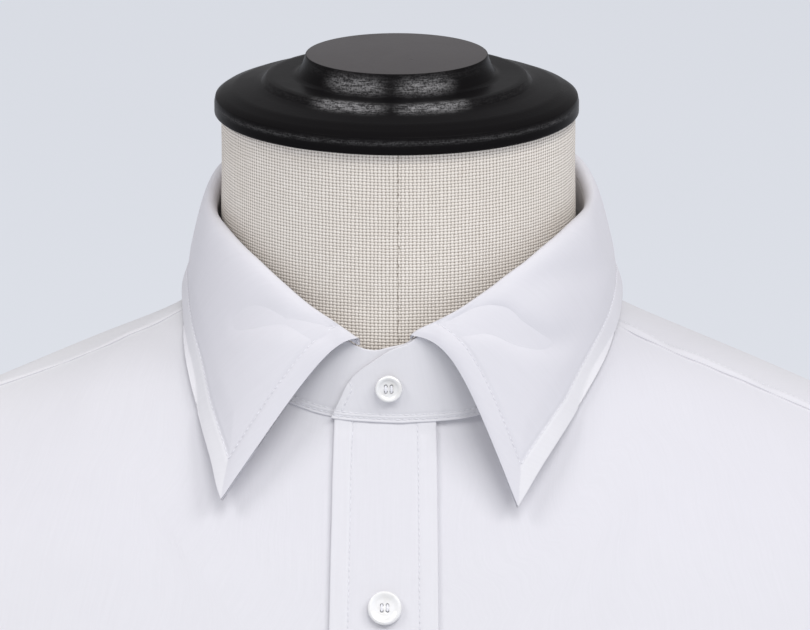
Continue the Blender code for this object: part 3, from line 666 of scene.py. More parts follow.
@dataclass
class Wall:
    """A cloth wall as grids of points: its outer face, its inner face and its layout.

    The layout holds metres along the rows and down the columns, for the weave.
    """

    outer: Array
    inner: Array
    closed: bool = False
    flip: bool = False
    layers: Optional[Array] = None
    bulge: float = 0.15
    plies: int = 1
    distances: dict = field(default_factory=dict)

    def normals(self) -> Array:
        """The outward directions of the outer face."""
        return grid_normals(self.outer, self.closed, self.flip)

    def flat_layout(self) -> Array:
        """Metres along each row from its middle and down each column from its top."""
        grid = self.outer
        if self.closed:
            grid = np.concatenate([grid, grid[:, :1]], 1)
        along = np.linalg.norm(np.diff(grid, axis=1), axis=-1)
        u = np.concatenate([np.zeros((len(grid), 1)), np.cumsum(along, 1)], 1)
        u = u - u[:, u.shape[1] // 2][:, None]
        down = np.linalg.norm(np.diff(grid, axis=0), axis=-1)
        v = np.concatenate([np.zeros((1, grid.shape[1])), np.cumsum(down, 0)], 0)
        return np.stack([u, v], -1)

    def rims(self) -> list:
        """The border's vertex numbers, in order, one list for each border loop."""
        rows, columns = self.outer.shape[:2]
        if self.closed:
            return [list(range(columns)), [(rows - 1) * columns + c for c in range(columns)][::-1]]
        rim = [r * columns for r in range(rows)]
        rim += [(rows - 1) * columns + c for c in range(1, columns)]
        rim += [r * columns + columns - 1 for r in range(rows - 2, -1, -1)]
        rim += list(range(columns - 2, 0, -1))
        return [rim]

    def outward(self) -> Array:
        """The directions in which the cloth ends at its borders."""
        grid = (self.outer + self.inner) / 2
        out = np.zeros_like(grid)
        out[0] += unit(grid[0] - grid[1])
        out[-1] += unit(grid[-1] - grid[-2])
        if not self.closed:
            out[:, 0] += unit(grid[:, 0] - grid[:, 1])
            out[:, -1] += unit(grid[:, -1] - grid[:, -2])
        return unit(out).reshape(-1, 3)

    def make(self, name: str, finish: "Finish") -> bpy.types.Object:
        """The wall as an object with its layout and its finish.

        Args:
            name: The piece's name.
            finish: The material's maker.

        Returns:
            The new object.
        """
        rows, columns = self.outer.shape[:2]
        count = rows * columns
        layout = self.flat_layout().reshape(-1, 2)
        wide = columns + 1 if self.closed else columns
        r, c = np.meshgrid(np.arange(rows - 1), np.arange(wide - 1), indexing="ij")
        r, c = r.ravel(), c.ravel()
        ring = np.stack([r, r + 1, r + 1, r], 1)
        step = np.stack([c, c, c + 1, c + 1], 1)
        outer = ring * columns + step % columns
        corners = ring * wide + step
        faces = np.concatenate([outer, outer[:, ::-1] + count])
        places = np.concatenate([corners, corners[:, ::-1]])
        points = [self.outer.reshape(-1, 3), self.inner.reshape(-1, 3)]
        start = 2 * count
        out = self.outward()
        for rim in self.rims():
            rim = np.array(rim)
            near, far = points[0][rim], points[1][rim]
            middle, half = (near + far) / 2, (near - far) / 2
            radius = np.linalg.norm(half, axis=-1, keepdims=True)
            rings = [rim]
            turns = (0.25, 0.5, 0.75)
            if self.plies > 1:
                turns = (0.12, 0.27, 0.42, 0.5, 0.58, 0.73, 0.88)
            for turn in turns:
                angle = math.pi * turn
                swell = abs(math.sin(self.plies * angle)) ** 0.5 - 0.5 * (self.plies - 1)
                bow = out[rim] * radius * swell * self.bulge
                points.append(middle + half * math.cos(angle) + bow)
                rings.append(np.arange(start, start + len(rim)))
                start += len(rim)
            rings.append(rim + count)
            spot = rim // columns * wide + rim % columns
            for one, two in zip(rings, rings[1:]):
                following = np.roll(one, -1), np.roll(two, -1)
                faces = np.concatenate([faces, np.stack([following[0], one, two, following[1]], 1)])
                next_spot = np.roll(spot, -1)
                places = np.concatenate([places, np.stack([next_spot, spot, spot, next_spot], 1)])
        if self.flip:
            faces, places = faces[:, ::-1], places[:, ::-1]
        mesh = bpy.data.meshes.new(name)
        mesh.from_pydata(np.concatenate(points).tolist(), [], faces.tolist())
        weave = mesh.uv_layers.new(name="cloth")
        weave.data.foreach_set("uv", layout[places.ravel()].astype(np.float32).ravel())
        # The colour share: extra layers at seams, with painted shade and painted highlight.
        if self.layers is not None:
            share = np.concatenate([self.layers.ravel(), self.layers.ravel()])
            share = np.concatenate([share, np.full(len(mesh.vertices) - len(share), 0.3)])
            mark = mesh.attributes.new("layers", "FLOAT", "POINT")
            mark.data.foreach_set("value", share.astype(np.float32))
        mesh.shade_smooth()
        made = link(name, mesh)
        mesh.materials.append(finish.material())
        return made

    def read(self, rows: Array, columns: Array) -> tuple:
        """Points and outward directions at fractional places of the outer face."""
        top = np.clip(rows.astype(int), 0, self.outer.shape[0] - 2)
        left = np.clip(columns.astype(int), 0, self.outer.shape[1] - 2)
        if self.closed:
            left = columns.astype(int) % self.outer.shape[1]
        right = (left + 1) % self.outer.shape[1]
        s, t = (rows - top)[:, None], (columns - np.floor(columns))[:, None]
        if not self.closed:
            t = (columns - left)[:, None]
        found = []
        for grid in (self.outer, self.normals()):
            upper = grid[top, left] * (1 - t) + grid[top, right] * t
            lower = grid[top + 1, left] * (1 - t) + grid[top + 1, right] * t
            found.append(upper * (1 - s) + lower * s)
        return found[0], unit(found[1])


def contour(distance: Array, level: float, border: Border) -> tuple:
    """Where the distance from a border first reaches a level, line by line from that border.

    Args:
        distance: The distance grid.
        level: The distance looked for.
        border: The border that the distance starts from.

    Returns:
        Fractional rows and columns of the crossings.
    """
    sideways = border in (Border.FIRST, Border.LAST)
    grid = distance.T if sideways else distance
    backward = border in (Border.BOTTOM, Border.LAST)
    if backward:
        grid = grid[::-1]
    over = grid >= level
    first = over.argmax(0)
    lines = np.nonzero(over.any(0) & (first > 0))[0]
    first = first[lines]
    high, low = grid[first, lines], grid[first - 1, lines]
    at = first - (high - level) / np.maximum(high - low, 1e-12)
    if backward:
        at = grid.shape[0] - 1 - at
    return (lines.astype(float), at) if sideways else (at, lines.astype(float))


def inset(grid: Array, rows: bool, columns: bool) -> Array:
    """The grid with its edges drawn in by half a seam gap."""
    half = CUT.gap / 2
    grid = grid.copy()
    if rows:
        grid[0] += unit(grid[1] - grid[0]) * half
        grid[-1] += unit(grid[-2] - grid[-1]) * half
    if columns:
        grid[:, 0] += unit(grid[:, 1] - grid[:, 0]) * half
        grid[:, -1] += unit(grid[:, -2] - grid[:, -1]) * half
    return grid


def shirt_wall(grid: Array, out: float, seams: Sequence[Seam], creases: Sequence[Crease],
               rows: bool = True, columns: bool = True, flip: bool = False) -> Wall:
    """A wall of cloth laid on the shirt's body.

    Args:
        grid: Points near the body's surface.
        out: How far the wall's inside is from the body's inside.
        seams: The sewn edges.
        creases: The soft creases.
        rows: Whether the first and last rows are drawn in for a seam.
        columns: Whether the first and last columns are drawn in for a seam.
        flip: Whether the columns run to the wearer's right.

    Returns:
        The wall, with each seam's distance grid.
    """
    base = SHIRT.settle(grid)
    facing = SHIRT.facing(base)
    lift = SHIRT.fold(base)
    angle = np.arctan2(base[..., 0], -base[..., 1])
    behind = np.maximum(np.abs(angle) - math.pi / 2, 0)
    width = np.where(behind > 0, SHIRT.oval(base[..., 2])[0], np.hypot(base[..., 0], base[..., 1]))
    around = np.sign(angle) * ((np.abs(angle) - behind) * width / MM + behind * 140)
    down = LEVELS.drop(base[..., 2])
    for crease in creases:
        lift = lift + crease.height(around, down)
    # Painted shade: cloth that faces up and to the front is given the darker colour
    layers = 0.80 - 2.2 * np.maximum(facing @ np.array([0.15, -0.50, 0.85]) - 0.64, 0)
    relief = np.zeros(base.shape[:-1])
    distances = {}
    for seam in seams:
        rise, band, far = seam.height(base, seam.span(base))
        relief = relief + rise
        layers = np.maximum(layers, (layers + 0.08) * band)
        distances[seam] = far
    outer = base + facing * (out + CUT.cloth + lift + relief)[..., None]
    inner = base + facing * (out + lift + np.minimum(relief, 0) * 0.5)[..., None]
    wall = Wall(inset(outer, rows, columns), inset(inner, rows, columns), flip=flip, layers=layers)
    wall.distances = distances
    return wall


def add_seams(grid: Array, seams: Sequence[Seam], strongest: bool = False) -> tuple:
    """Adds up what a panel's sewn edges do.

    Args:
        grid: The panel's outer face.
        seams: The sewn edges.
        strongest: Whether only the strongest relief counts where edges meet.

    Returns:
        The relief in metres, the layers from 0 to 1 and each seam's distance grid.
    """
    relief = np.zeros(grid.shape[:-1])
    layers = np.zeros(grid.shape[:-1])
    distances = {}
    for seam in seams:
        rise, band, far = seam.height(grid, seam.span(grid))
        stronger = np.where(np.abs(rise) > np.abs(relief), rise, relief)
        relief = stronger if strongest else relief + rise
        layers = np.maximum(layers, band)
        distances[seam] = far
    return relief, layers, distances


def read_row(wall: Wall, far: Array, width: float, border: Border) -> tuple:
    """Points and outward directions along a row at a distance from a border."""
    rows, columns = contour(far, width, border)
    return wall.read(rows, columns)


# Thread


@dataclass(frozen=True)
class Stitch:
    """One row stitch: its spacing, its length and its thread's thickness."""

    pitch: float = 2.1 * MM
    length: float = 1.75 * MM
    thickness: float = 0.27 * MM
    depth: float = 0.04 * MM
    # An even count, since the ball is stretched about the middle of its box
    sides: int = 6
    rings: int = 4

    def model(self) -> tuple:
        """One stitch along X, modelled as a stretched ball, as its points and faces."""
        deselect()
        bpy.ops.mesh.primitive_uv_sphere_add(segments=self.sides, ring_count=self.rings,
                                             radius=0.5)
        ball = bpy.context.object
        bpy.ops.object.mode_set(mode="EDIT")
        bpy.ops.mesh.select_all(action="SELECT")
        bpy.ops.transform.resize(value=(self.length, self.thickness, self.thickness))
        bpy.ops.object.mode_set(mode="OBJECT")
        points = np.array([v.co for v in ball.data.vertices])
        faces = [tuple(p.vertices) for p in ball.data.polygons]
        data = ball.data
        bpy.data.objects.remove(ball)
        bpy.data.meshes.remove(data)
        return points, faces

    def sew(self, name: str, paths: Sequence[tuple]) -> bpy.types.Object:
        """Rows of stitches as one piece.

        Args:
            name: The piece's name.
            paths: Pairs of points along a line and the outward directions there.

        Returns:
            The new object.
        """
        shape, shape_faces = self.model()
        placed = []
        for points, facing in paths:
            along = lengths(points)
            count = int(along[-1] / self.pitch)
            if count < 1:
                continue
            middles = (np.arange(count) + 0.5) * along[-1] / count
            seat = np.stack([np.interp(middles, along, points[:, i]) for i in range(3)], -1)
            ahead = np.stack(
                [np.interp(middles + 0.3 * MM, along, points[:, i]) for i in range(3)], -1)
            up = unit(np.stack([np.interp(middles, along, facing[:, i]) for i in range(3)], -1))
            way = unit(ahead - seat)
            up = unit(up - (up * way).sum(-1, keepdims=True) * way)
            aside = np.cross(up, way)
            seat = seat + up * (self.thickness / 2 - self.depth)
            turned = (shape[None, :, 0:1] * way[:, None] + shape[None, :, 1:2] * aside[:, None]
                      + shape[None, :, 2:3] * up[:, None])
            placed.append((seat[:, None] + turned).reshape(-1, 3))
        cloud = np.concatenate(placed)
        copies = len(cloud) // len(shape)
        faces = [tuple(i + k * len(shape) for i in f) for k in range(copies) for f in shape_faces]
        mesh = bpy.data.meshes.new(name)
        mesh.from_pydata(cloud.tolist(), [], faces)
        mesh.shade_smooth()
        made = link(name, mesh)
        mesh.materials.append(Thread().material())
        return made


STITCH = Stitch()


# Finishes


class Graph:
    """A material's node graph, with short ways to add nodes."""

    def __init__(self, name: str) -> None:
        """Starts a material with a lone Principled shader."""
        self.made = bpy.data.materials.new(name)
        self.made.use_nodes = True
        self.nodes = self.made.node_tree.nodes
        self.links = self.made.node_tree.links
        self.shader = self.nodes["Principled BSDF"]

    def feed(self, socket: bpy.types.NodeSocket, value: object) -> None:
        """Sets a socket, or links it if the value is a socket."""
        if isinstance(value, bpy.types.NodeSocket):
            self.links.new(value, socket)
        else:
            socket.default_value = value

    def math(self, operation: str, *values: object) -> bpy.types.NodeSocket:
        """A Math node's result."""
        node = self.nodes.new("ShaderNodeMath")
        node.operation = operation
        for socket, value in zip(node.inputs, values):
            self.feed(socket, value)
        return node.outputs[0]

    def split(self, vector: bpy.types.NodeSocket) -> tuple:
        """A vector's three parts."""
        node = self.nodes.new("ShaderNodeSeparateXYZ")
        self.links.new(vector, node.inputs[0])
        return tuple(node.outputs)

    def vector(self, x: object, y: object, z: object = 0.0) -> bpy.types.NodeSocket:
        """Three parts as a vector."""
        node = self.nodes.new("ShaderNodeCombineXYZ")
        for socket, value in zip(node.inputs, (x, y, z)):
            self.feed(socket, value)
        return node.outputs[0]

    def layout(self) -> bpy.types.NodeSocket:
        """Places on the laid out cloth, in metres."""
        node = self.nodes.new("ShaderNodeUVMap")
        node.uv_map = "cloth"
        return node.outputs[0]

    def place(self) -> bpy.types.NodeSocket:
        """Places in the object's own frame."""
        return self.nodes.new("ShaderNodeTexCoord").outputs["Object"]

    def stretched(self, vector: bpy.types.NodeSocket, scale: tuple) -> bpy.types.NodeSocket:
        """A vector with each part scaled."""
        node = self.nodes.new("ShaderNodeMapping")
        self.links.new(vector, node.inputs["Vector"])
        node.inputs["Scale"].default_value = scale
        return node.outputs[0]

    def noise(self, vector: bpy.types.NodeSocket, scale: float, detail: float = 2.0,
              roughness: float = 0.5) -> bpy.types.NodeSocket:
        """A noise from 0 to 1, about 0.5."""
        node = self.nodes.new("ShaderNodeTexNoise")
        self.links.new(vector, node.inputs["Vector"])
        node.inputs["Scale"].default_value = scale
        node.inputs["Detail"].default_value = detail
        node.inputs["Roughness"].default_value = roughness
        return node.outputs["Fac"]

    def attribute(self, name: str) -> bpy.types.NodeSocket:
        """A number stored on the piece's points."""
        node = self.nodes.new("ShaderNodeAttribute")
        node.attribute_name = name
        return node.outputs["Fac"]

    def ramp(self, share: bpy.types.NodeSocket, *stops: tuple) -> bpy.types.NodeSocket:
        """A colour read from stops of a place and a colour."""
        node = self.nodes.new("ShaderNodeValToRGB")
        self.links.new(share, node.inputs[0])
        elements = node.color_ramp.elements
        while len(elements) < len(stops):
            elements.new(0.5)
        for element, (at, colour) in zip(elements, stops):
            element.position = at
            element.color = (*colour, 1)
        return node.outputs[0]

    def blend(self, share: object, one: object, two: object,
              kind: str = "MIX") -> bpy.types.NodeSocket:
        """Two colours mixed."""
        node = self.nodes.new("ShaderNodeMix")
        node.data_type = "RGBA"
        node.blend_type = kind
        self.feed(node.inputs["Factor"], share)
        for socket, value in ((node.inputs[6], one), (node.inputs[7], two)):
            self.feed(socket, (*value, 1) if isinstance(value, tuple) else value)
        return node.outputs[2]

    def bump(self, height: bpy.types.NodeSocket, distance: float, strength: float = 1.0,
             normal: Optional[bpy.types.NodeSocket] = None) -> bpy.types.NodeSocket:
        """A normal from a height that spans a distance."""
        node = self.nodes.new("ShaderNodeBump")
        node.inputs["Strength"].default_value = strength
        node.inputs["Distance"].default_value = distance
        self.links.new(height, node.inputs["Height"])
        if normal is not None:
            self.links.new(normal, node.inputs["Normal"])
        return node.outputs[0]

    def woven(self, u: bpy.types.NodeSocket, v: bpy.types.NodeSocket, over: float) -> tuple:
        """A plain weave's threads, with u and v counted in threads.

        Args:
            u: Across the lengthwise threads.
            v: Across the crosswise threads.
            over: How far each thread rises and dips, from 0 to 0.5.

        Returns:
            The heights of the lengthwise and the crosswise threads.
        """
        heights = []
        for one, two, sign in ((u, v, over), (v, u, -over)):
            thread = self.math("ABSOLUTE", self.math("SINE", self.math("MULTIPLY", one, math.pi)))
            turn = self.math("ADD", self.math("SUBTRACT", two, 0.5), self.math("FLOOR", one))
            wave = self.math("COSINE", self.math("MULTIPLY", turn, math.pi))
            rise = self.math("MULTIPLY_ADD", wave, sign, 0.5)
            heights.append(self.math("MULTIPLY", self.math("POWER", thread, 0.6), rise))
        return heights[0], heights[1]

    def shade(self, **values: object) -> bpy.types.Material:
        """Sets the shader's sockets by name, with _ for a space, and gives the material."""
        for name, value in values.items():
            socket = self.shader.inputs[name.replace("_", " ")]
            colour = isinstance(value, tuple) and len(value) == 3
            self.feed(socket, (*value, 1) if colour else value)
        return self.made


@dataclass(frozen=True)
class Finish:
    """A finish that makes its material once."""

    name: str = ""

    def material(self) -> bpy.types.Material:
        """The material, made the first time that it is asked for."""
        return bpy.data.materials.get(self.name) or self.build(Graph(self.name))

    def build(self, graph: Graph) -> bpy.types.Material:
        """Builds the node graph."""
        raise NotImplementedError


@dataclass(frozen=True)
class WhiteCotton(Finish):
    """Fine white shirting: a close plain weave with faint slubs down its length."""

    name: str = "shirting"
    # The first colour carries painted shade, on the collar leaf and on cloth that faces up and to
    # the front; the second is for extra layers at seams and, on the leaf's edge band, partly
    # painted highlight.
    colour: tuple = (0.628, 0.620, 0.664)
    layered_and_unshaded: tuple = (0.738, 0.732, 0.750)
    threads: float = 2600
    slub_width: float = 950
    slub_length: float = 45

    def build(self, graph: Graph) -> bpy.types.Material:
        """Builds the node graph."""
        cloth = graph.layout()
        u, v, _ = graph.split(cloth)
        warp, weft = graph.woven(graph.math("MULTIPLY", u, self.threads),
                                 graph.math("MULTIPLY", v, self.threads), 0.25)
        weave = graph.math("MAXIMUM", warp, weft)
        slub_scale = (self.slub_width, self.slub_length, 1)
        slubs = graph.noise(graph.stretched(cloth, slub_scale), 1.0, 3.0)
        drift = graph.noise(cloth, 28.0, 2.0)
        tone = graph.math("MULTIPLY_ADD", slubs, 0.05, 0.965)
        tone = graph.math("MULTIPLY_ADD", drift, 0.03, tone)
        tone = graph.math("MULTIPLY_ADD", weave, 0.03, tone)
        # Mixed by a share that holds extra layers, painted shade and painted highlight.
        colour = graph.blend(graph.attribute("layers"), self.colour, self.layered_and_unshaded)
        shaded = graph.blend(1.0, colour, graph.vector(tone, tone, tone), "MULTIPLY")
        rough = graph.bump(weave, 0.05 * MM, 0.6)
        rough = graph.bump(slubs, 0.05 * MM, 0.5, rough)
        rough = graph.bump(graph.noise(cloth, 90.0, 3.0), 0.25 * MM, 0.35, rough)
        return graph.shade(Base_Color=shaded, Roughness=0.82, Normal=rough, Sheen_Weight=0.12,
                           Sheen_Roughness=0.4, Specular_IOR_Level=0.3)


@dataclass(frozen=True)
class Linen(Finish):
    """Natural linen canvas: a coarse plain weave with thick and thin threads."""

    name: str = "canvas"
    pitch: float = 1.30 * MM
    row_pitch: float = 1.08 * MM
    thread: tuple = (0.78, 0.72, 0.655)
    pale: tuple = (0.93, 0.885, 0.83)
    hole: tuple = (0.28, 0.235, 0.19)

    def build(self, graph: Graph) -> bpy.types.Material:
        """Builds the node graph."""
        cloth = graph.layout()
        u, v, _ = graph.split(cloth)
        wander = graph.noise(graph.stretched(cloth, (260, 90, 1)), 1.0, 2.0)
        stray = graph.noise(graph.stretched(cloth, (90, 260, 1)), 1.0, 2.0)
        across = graph.math("MULTIPLY_ADD", wander, 0.55,
                            graph.math("MULTIPLY", u, 1 / self.pitch))
        down = graph.math("MULTIPLY_ADD", stray, 0.55,
                          graph.math("MULTIPLY", v, 1 / self.row_pitch))
        warp, weft = graph.woven(across, down, 0.30)
        weave = graph.math("MAXIMUM", warp, weft)
        each = graph.noise(graph.vector(graph.math("FLOOR", across),
                                        graph.math("MULTIPLY", down, 0.05)), 7.3, 1.0)
        other = graph.noise(graph.vector(graph.math("MULTIPLY", across, 0.05),
                                         graph.math("FLOOR", down)), 5.1, 1.0)
        tint = graph.math("MULTIPLY_ADD", each, 0.5, graph.math("MULTIPLY", other, 0.5))
        thread = graph.blend(tint, self.thread, self.pale)
        depth = graph.ramp(weave, (0.20, (0, 0, 0)), (0.60, (1, 1, 1)))
        colour = graph.blend(depth, self.hole, thread)
        stain = graph.noise(cloth, 22.0, 3.0)
        colour = graph.blend(1.0, colour, graph.ramp(stain, (0.3, (0.95, 0.94, 0.93)),
                                                     (0.7, (1, 1, 1))), "MULTIPLY")
        # The seam down the middle of the neck, drawn tight here and there
        waver = graph.noise(graph.stretched(cloth, (0, 260, 1)), 1.0, 3.0)
        aside = graph.math("ABSOLUTE", graph.math("MULTIPLY_ADD", waver, 1.8 * MM,
                                                  graph.math("SUBTRACT", u, 0.9 * MM)))
        tight = graph.noise(graph.stretched(cloth, (0, 620, 1)), 1.0, 2.0)
        aside = graph.math("MULTIPLY_ADD", tight, 1.2,
                           graph.math("MULTIPLY", aside, 1 / (0.8 * MM)))
        colour = graph.blend(1.0, colour, graph.ramp(aside, (0.50, (0.36, 0.33, 0.30)),
                                                     (0.95, (1, 1, 1))), "MULTIPLY")
        rough = graph.bump(weave, 0.45 * MM, 0.9)
        rough = graph.bump(graph.noise(cloth, 2400.0, 2.0), 0.10 * MM, 0.5, rough)
        return graph.shade(Base_Color=colour, Roughness=0.9, Normal=rough, Specular_IOR_Level=0.2,
                           Sheen_Weight=0.1)


@dataclass(frozen=True)
class BlackLacquer(Finish):
    """Turned wood under black satin lacquer, rubbed pale along its edges, with painted highlights
    on the cap's steps and rim and its top disk painted lighter as a painted reflection.
    """

    name: str = "lacquered_wood"
    colour: tuple = (0.006, 0.0055, 0.006)
    # The second colour is painted light: the cap's top disk made lighter in place of the bright
    # surroundings that it reflects. The third is rubbed lacquer and, on the cap, painted highlight.
    lit_top: tuple = (0.074, 0.069, 0.071)
    rubbed_and_highlit: tuple = (0.26, 0.255, 0.26)

    def build(self, graph: Graph) -> bpy.types.Material:
        """Builds the node graph."""
        place = graph.place()
        scratches = graph.noise(graph.stretched(place, (260, 260, 2600)), 1.0, 4.0, 0.7)
        specks = graph.noise(place, 1500.0, 3.0, 0.6)
        broad = graph.noise(place, 38.0, 3.0)
        marks = graph.math("MULTIPLY_ADD", specks, 0.4, graph.math("MULTIPLY", scratches, 0.6))
        scratch_pattern = graph.ramp(marks,
                          (0.44, (0.12, 0.12, 0.12)), (0.60, (1, 1, 1)))
        # One mask for rubbed lacquer and for the painted highlights on the cap.
        wear_and_highlight = graph.math("MULTIPLY", graph.attribute("wear_and_highlight"), scratch_pattern)
        # Painted reflection: the cap's top disk is coloured lighter.
        top_light = graph.math("MULTIPLY", graph.attribute("top_light"),
                          graph.math("MULTIPLY_ADD", broad, 0.3, 0.85))
        colour = graph.blend(top_light, self.colour, self.lit_top)
        colour = graph.blend(wear_and_highlight, colour, self.rubbed_and_highlit)
        rough = graph.math("MULTIPLY_ADD", broad, 0.16, 0.22)
        rough = graph.math("MULTIPLY_ADD", wear_and_highlight, 0.3, rough)
        ripple = graph.bump(graph.noise(place, 700.0, 3.0), 0.05 * MM, 0.5)
        return graph.shade(Base_Color=colour, Roughness=rough, Normal=ripple,
                           Specular_IOR_Level=0.022)


@dataclass(frozen=True)
class Pearl(Finish):
    """Pearl-white shirt button with soft clouding."""

    name: str = "pearl_shell"

    def build(self, graph: Graph) -> bpy.types.Material:
        """Builds the node graph."""
        place = graph.place()
        cloud = graph.noise(graph.stretched(place, (1, 1.6, 0.6)), 260.0, 3.0)
        colour = graph.ramp(cloud, (0.3, (0.74, 0.73, 0.71)), (0.7, (0.87, 0.87, 0.88)))
        return graph.shade(Base_Color=colour, Roughness=0.22, Coat_Weight=0.4,
                           Coat_Roughness=0.12, Specular_IOR_Level=0.6)


@dataclass(frozen=True)
class Thread(Finish):
    """White cotton sewing thread, with its twist."""

    name: str = "cotton_thread"

    def build(self, graph: Graph) -> bpy.types.Material:
        """Builds the node graph."""
        twist = graph.noise(graph.place(), 4200.0, 1.0)
        colour = graph.ramp(twist, (0.3, (0.70, 0.70, 0.74)), (0.7, (0.86, 0.86, 0.90)))
        return graph.shade(Base_Color=colour, Roughness=0.7, Sheen_Weight=0.2)


@dataclass(frozen=True)
class PaleFloor(Finish):
    """A plain pale blue-grey floor."""

    name: str = "studio_floor"
    colour: tuple = (0.838, 0.866, 0.920)

    def build(self, graph: Graph) -> bpy.types.Material:
        """Builds the node graph."""
        cloud = graph.noise(graph.place(), 1.5, 2.0)
        near = tuple(c * 0.995 for c in self.colour)
        colour = graph.ramp(cloud, (0.3, near), (0.7, self.colour))
        return graph.shade(Base_Color=colour, Roughness=1.0, Specular_IOR_Level=0.0)


COTTON = WhiteCotton()


# Hard pieces, shaped with the modelling operators


def deselect() -> None:
    """Leaves edit mode and deselects every object."""
    if bpy.context.object and bpy.context.object.mode != "OBJECT":
        bpy.ops.object.mode_set(mode="OBJECT")
    bpy.ops.object.select_all(action="DESELECT")


def shape_rings(name: str, outline: Sequence[tuple], sides: int) -> bpy.types.Object:
    """A round piece drawn up from its lowest ring, ring by ring.

    Args:
        name: The piece's name.
        outline: Pairs of radius and height, from the lowest ring to the highest.
        sides: How many sides the rings have.

    Returns:
        The new object, closed at both ends.
    """
    deselect()
    radius, z = outline[0]
    bpy.ops.mesh.primitive_circle_add(vertices=sides, radius=radius, fill_type="NGON",
                                      location=(0, 0, z))
    piece = bpy.context.object
    piece.name = name
    bpy.ops.object.mode_set(mode="EDIT")
    bpy.ops.mesh.select_all(action="SELECT")
    for next_radius, next_z in outline[1:]:
        bpy.ops.mesh.extrude_region_move(TRANSFORM_OT_translate={"value": (0, 0, next_z - z)})
        grow = next_radius / radius
        bpy.ops.transform.resize(value=(grow, grow, 1), center_override=(0, 0, next_z))
        radius, z = next_radius, next_z
    bpy.ops.mesh.select_all(action="SELECT")
    bpy.ops.mesh.normals_make_consistent(inside=False)
    bpy.ops.object.mode_set(mode="OBJECT")
    settle_in_place(piece)
    return piece


def closer(outline: Sequence[tuple], step: float) -> list:
    """The outline with rings added where its own lie further apart than a step."""
    rings = [outline[0]]
    for start, end in zip(outline, outline[1:]):
        parts = max(1, math.ceil(math.dist(start, end) / step))
        rings += [tuple(np.add(start, np.subtract(end, start) * (i + 1) / parts))
                  for i in range(parts)]
    return rings


def settle_in_place(piece: bpy.types.Object) -> None:
    """Moves the object's place into its mesh."""
    piece.data.transform(piece.matrix_basis)
    piece.matrix_basis = Matrix.Identity(4)


def round_edges(piece: bpy.types.Object, width: float, segments: int, angle: float) -> None:
    """Rounds the edges that bend more than an angle, and applies it.

    Args:
        piece: The object.
        width: The bevel's width.
        segments: How many steps round the edge.
        angle: The least bend in degrees that is rounded.
    """
    deselect()
    piece.select_set(True)
    bpy.context.view_layer.objects.active = piece
    bevel = piece.modifiers.new("rounded edges", "BEVEL")
    bevel.width = width
    bevel.segments = segments
    bevel.limit_method = "ANGLE"
    bevel.angle_limit = math.radians(angle)
    bevel.use_clamp_overlap = True
    bpy.ops.object.modifier_apply(modifier=bevel.name)
    bpy.ops.object.shade_smooth_by_angle(angle=math.radians(30))


def mark_wear(piece: bpy.types.Object, rubbed_and_highlit: Sequence[tuple], lit_top: float = 0.0,
              patches: Sequence[tuple] = ()) -> None:
    """Marks the rubbed lacquer and the painted highlights, and the top disk that is painted
    lighter.

    Args:
        piece: A round piece about the Z axis.
        rubbed_and_highlit: Each edge's radius, height, reach and strength; rubbed lacquer, and on
            the cap's rim a painted highlight line as well.
        lit_top: The radius of the top disk that is painted lighter as a painted reflection, or 0.
        patches: Each painted highlight patch's radius, height, reach and X range, all in metres.
    """
    co = np.array([v.co for v in piece.data.vertices])
    radius = np.hypot(co[:, 0], co[:, 1])
    wear_and_highlight = np.zeros(len(co))
    for r, z, reach, strength in rubbed_and_highlit:
        wear_and_highlight = np.maximum(wear_and_highlight, strength * bell(np.hypot(radius - r, co[:, 2] - z), reach))
    for r, z, reach, first, last in patches:
        spot = bell(np.hypot(radius - r, co[:, 2] - z), reach) * (co[:, 1] < 0)
        middle, half = (first + last) / 2, (last - first) / 2
        past = (np.abs(co[:, 0] - middle) - half + 3 * MM) / (9 * MM)
        wear_and_highlight = np.maximum(wear_and_highlight, spot * (1 - ease_in(past)))
    # Painted reflection: the flat top disk is marked to be coloured lighter.
    top_light = (radius < lit_top) & (co[:, 2] > co[:, 2].max() - 0.1 * MM)
    for name, values in (("wear_and_highlight", wear_and_highlight), ("top_light", top_light)):
        mark = piece.data.attributes.new(name, "FLOAT", "POINT")
        mark.data.foreach_set("value", values.astype(np.float32))


def declare(piece: bpy.types.Object, slot: str, *nodes: str) -> bpy.types.Object:
    """Fastens a piece to the body and hides the solids that it stands for."""
    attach(piece, BODY)
    if nodes:
        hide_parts(*nodes)
    LOG.info("%s: %d faces", piece.name, len(piece.data.polygons))
    return piece


def finish_cloth(node: str, wall: Wall, paths: Sequence[tuple] = ()) -> None:
    """Makes a node's cloth and its stitching.

    Args:
        node: The solid that the cloth stands for.
        wall: The cloth's wall.
        paths: The rows of stitches.
    """
    piece = declare(wall.make(f"{node}_cloth", COTTON), "white_cotton", node)
    if paths:
        declare(STITCH.sew(f"{node}_stitching", paths), "white_cotton")


# The dress form


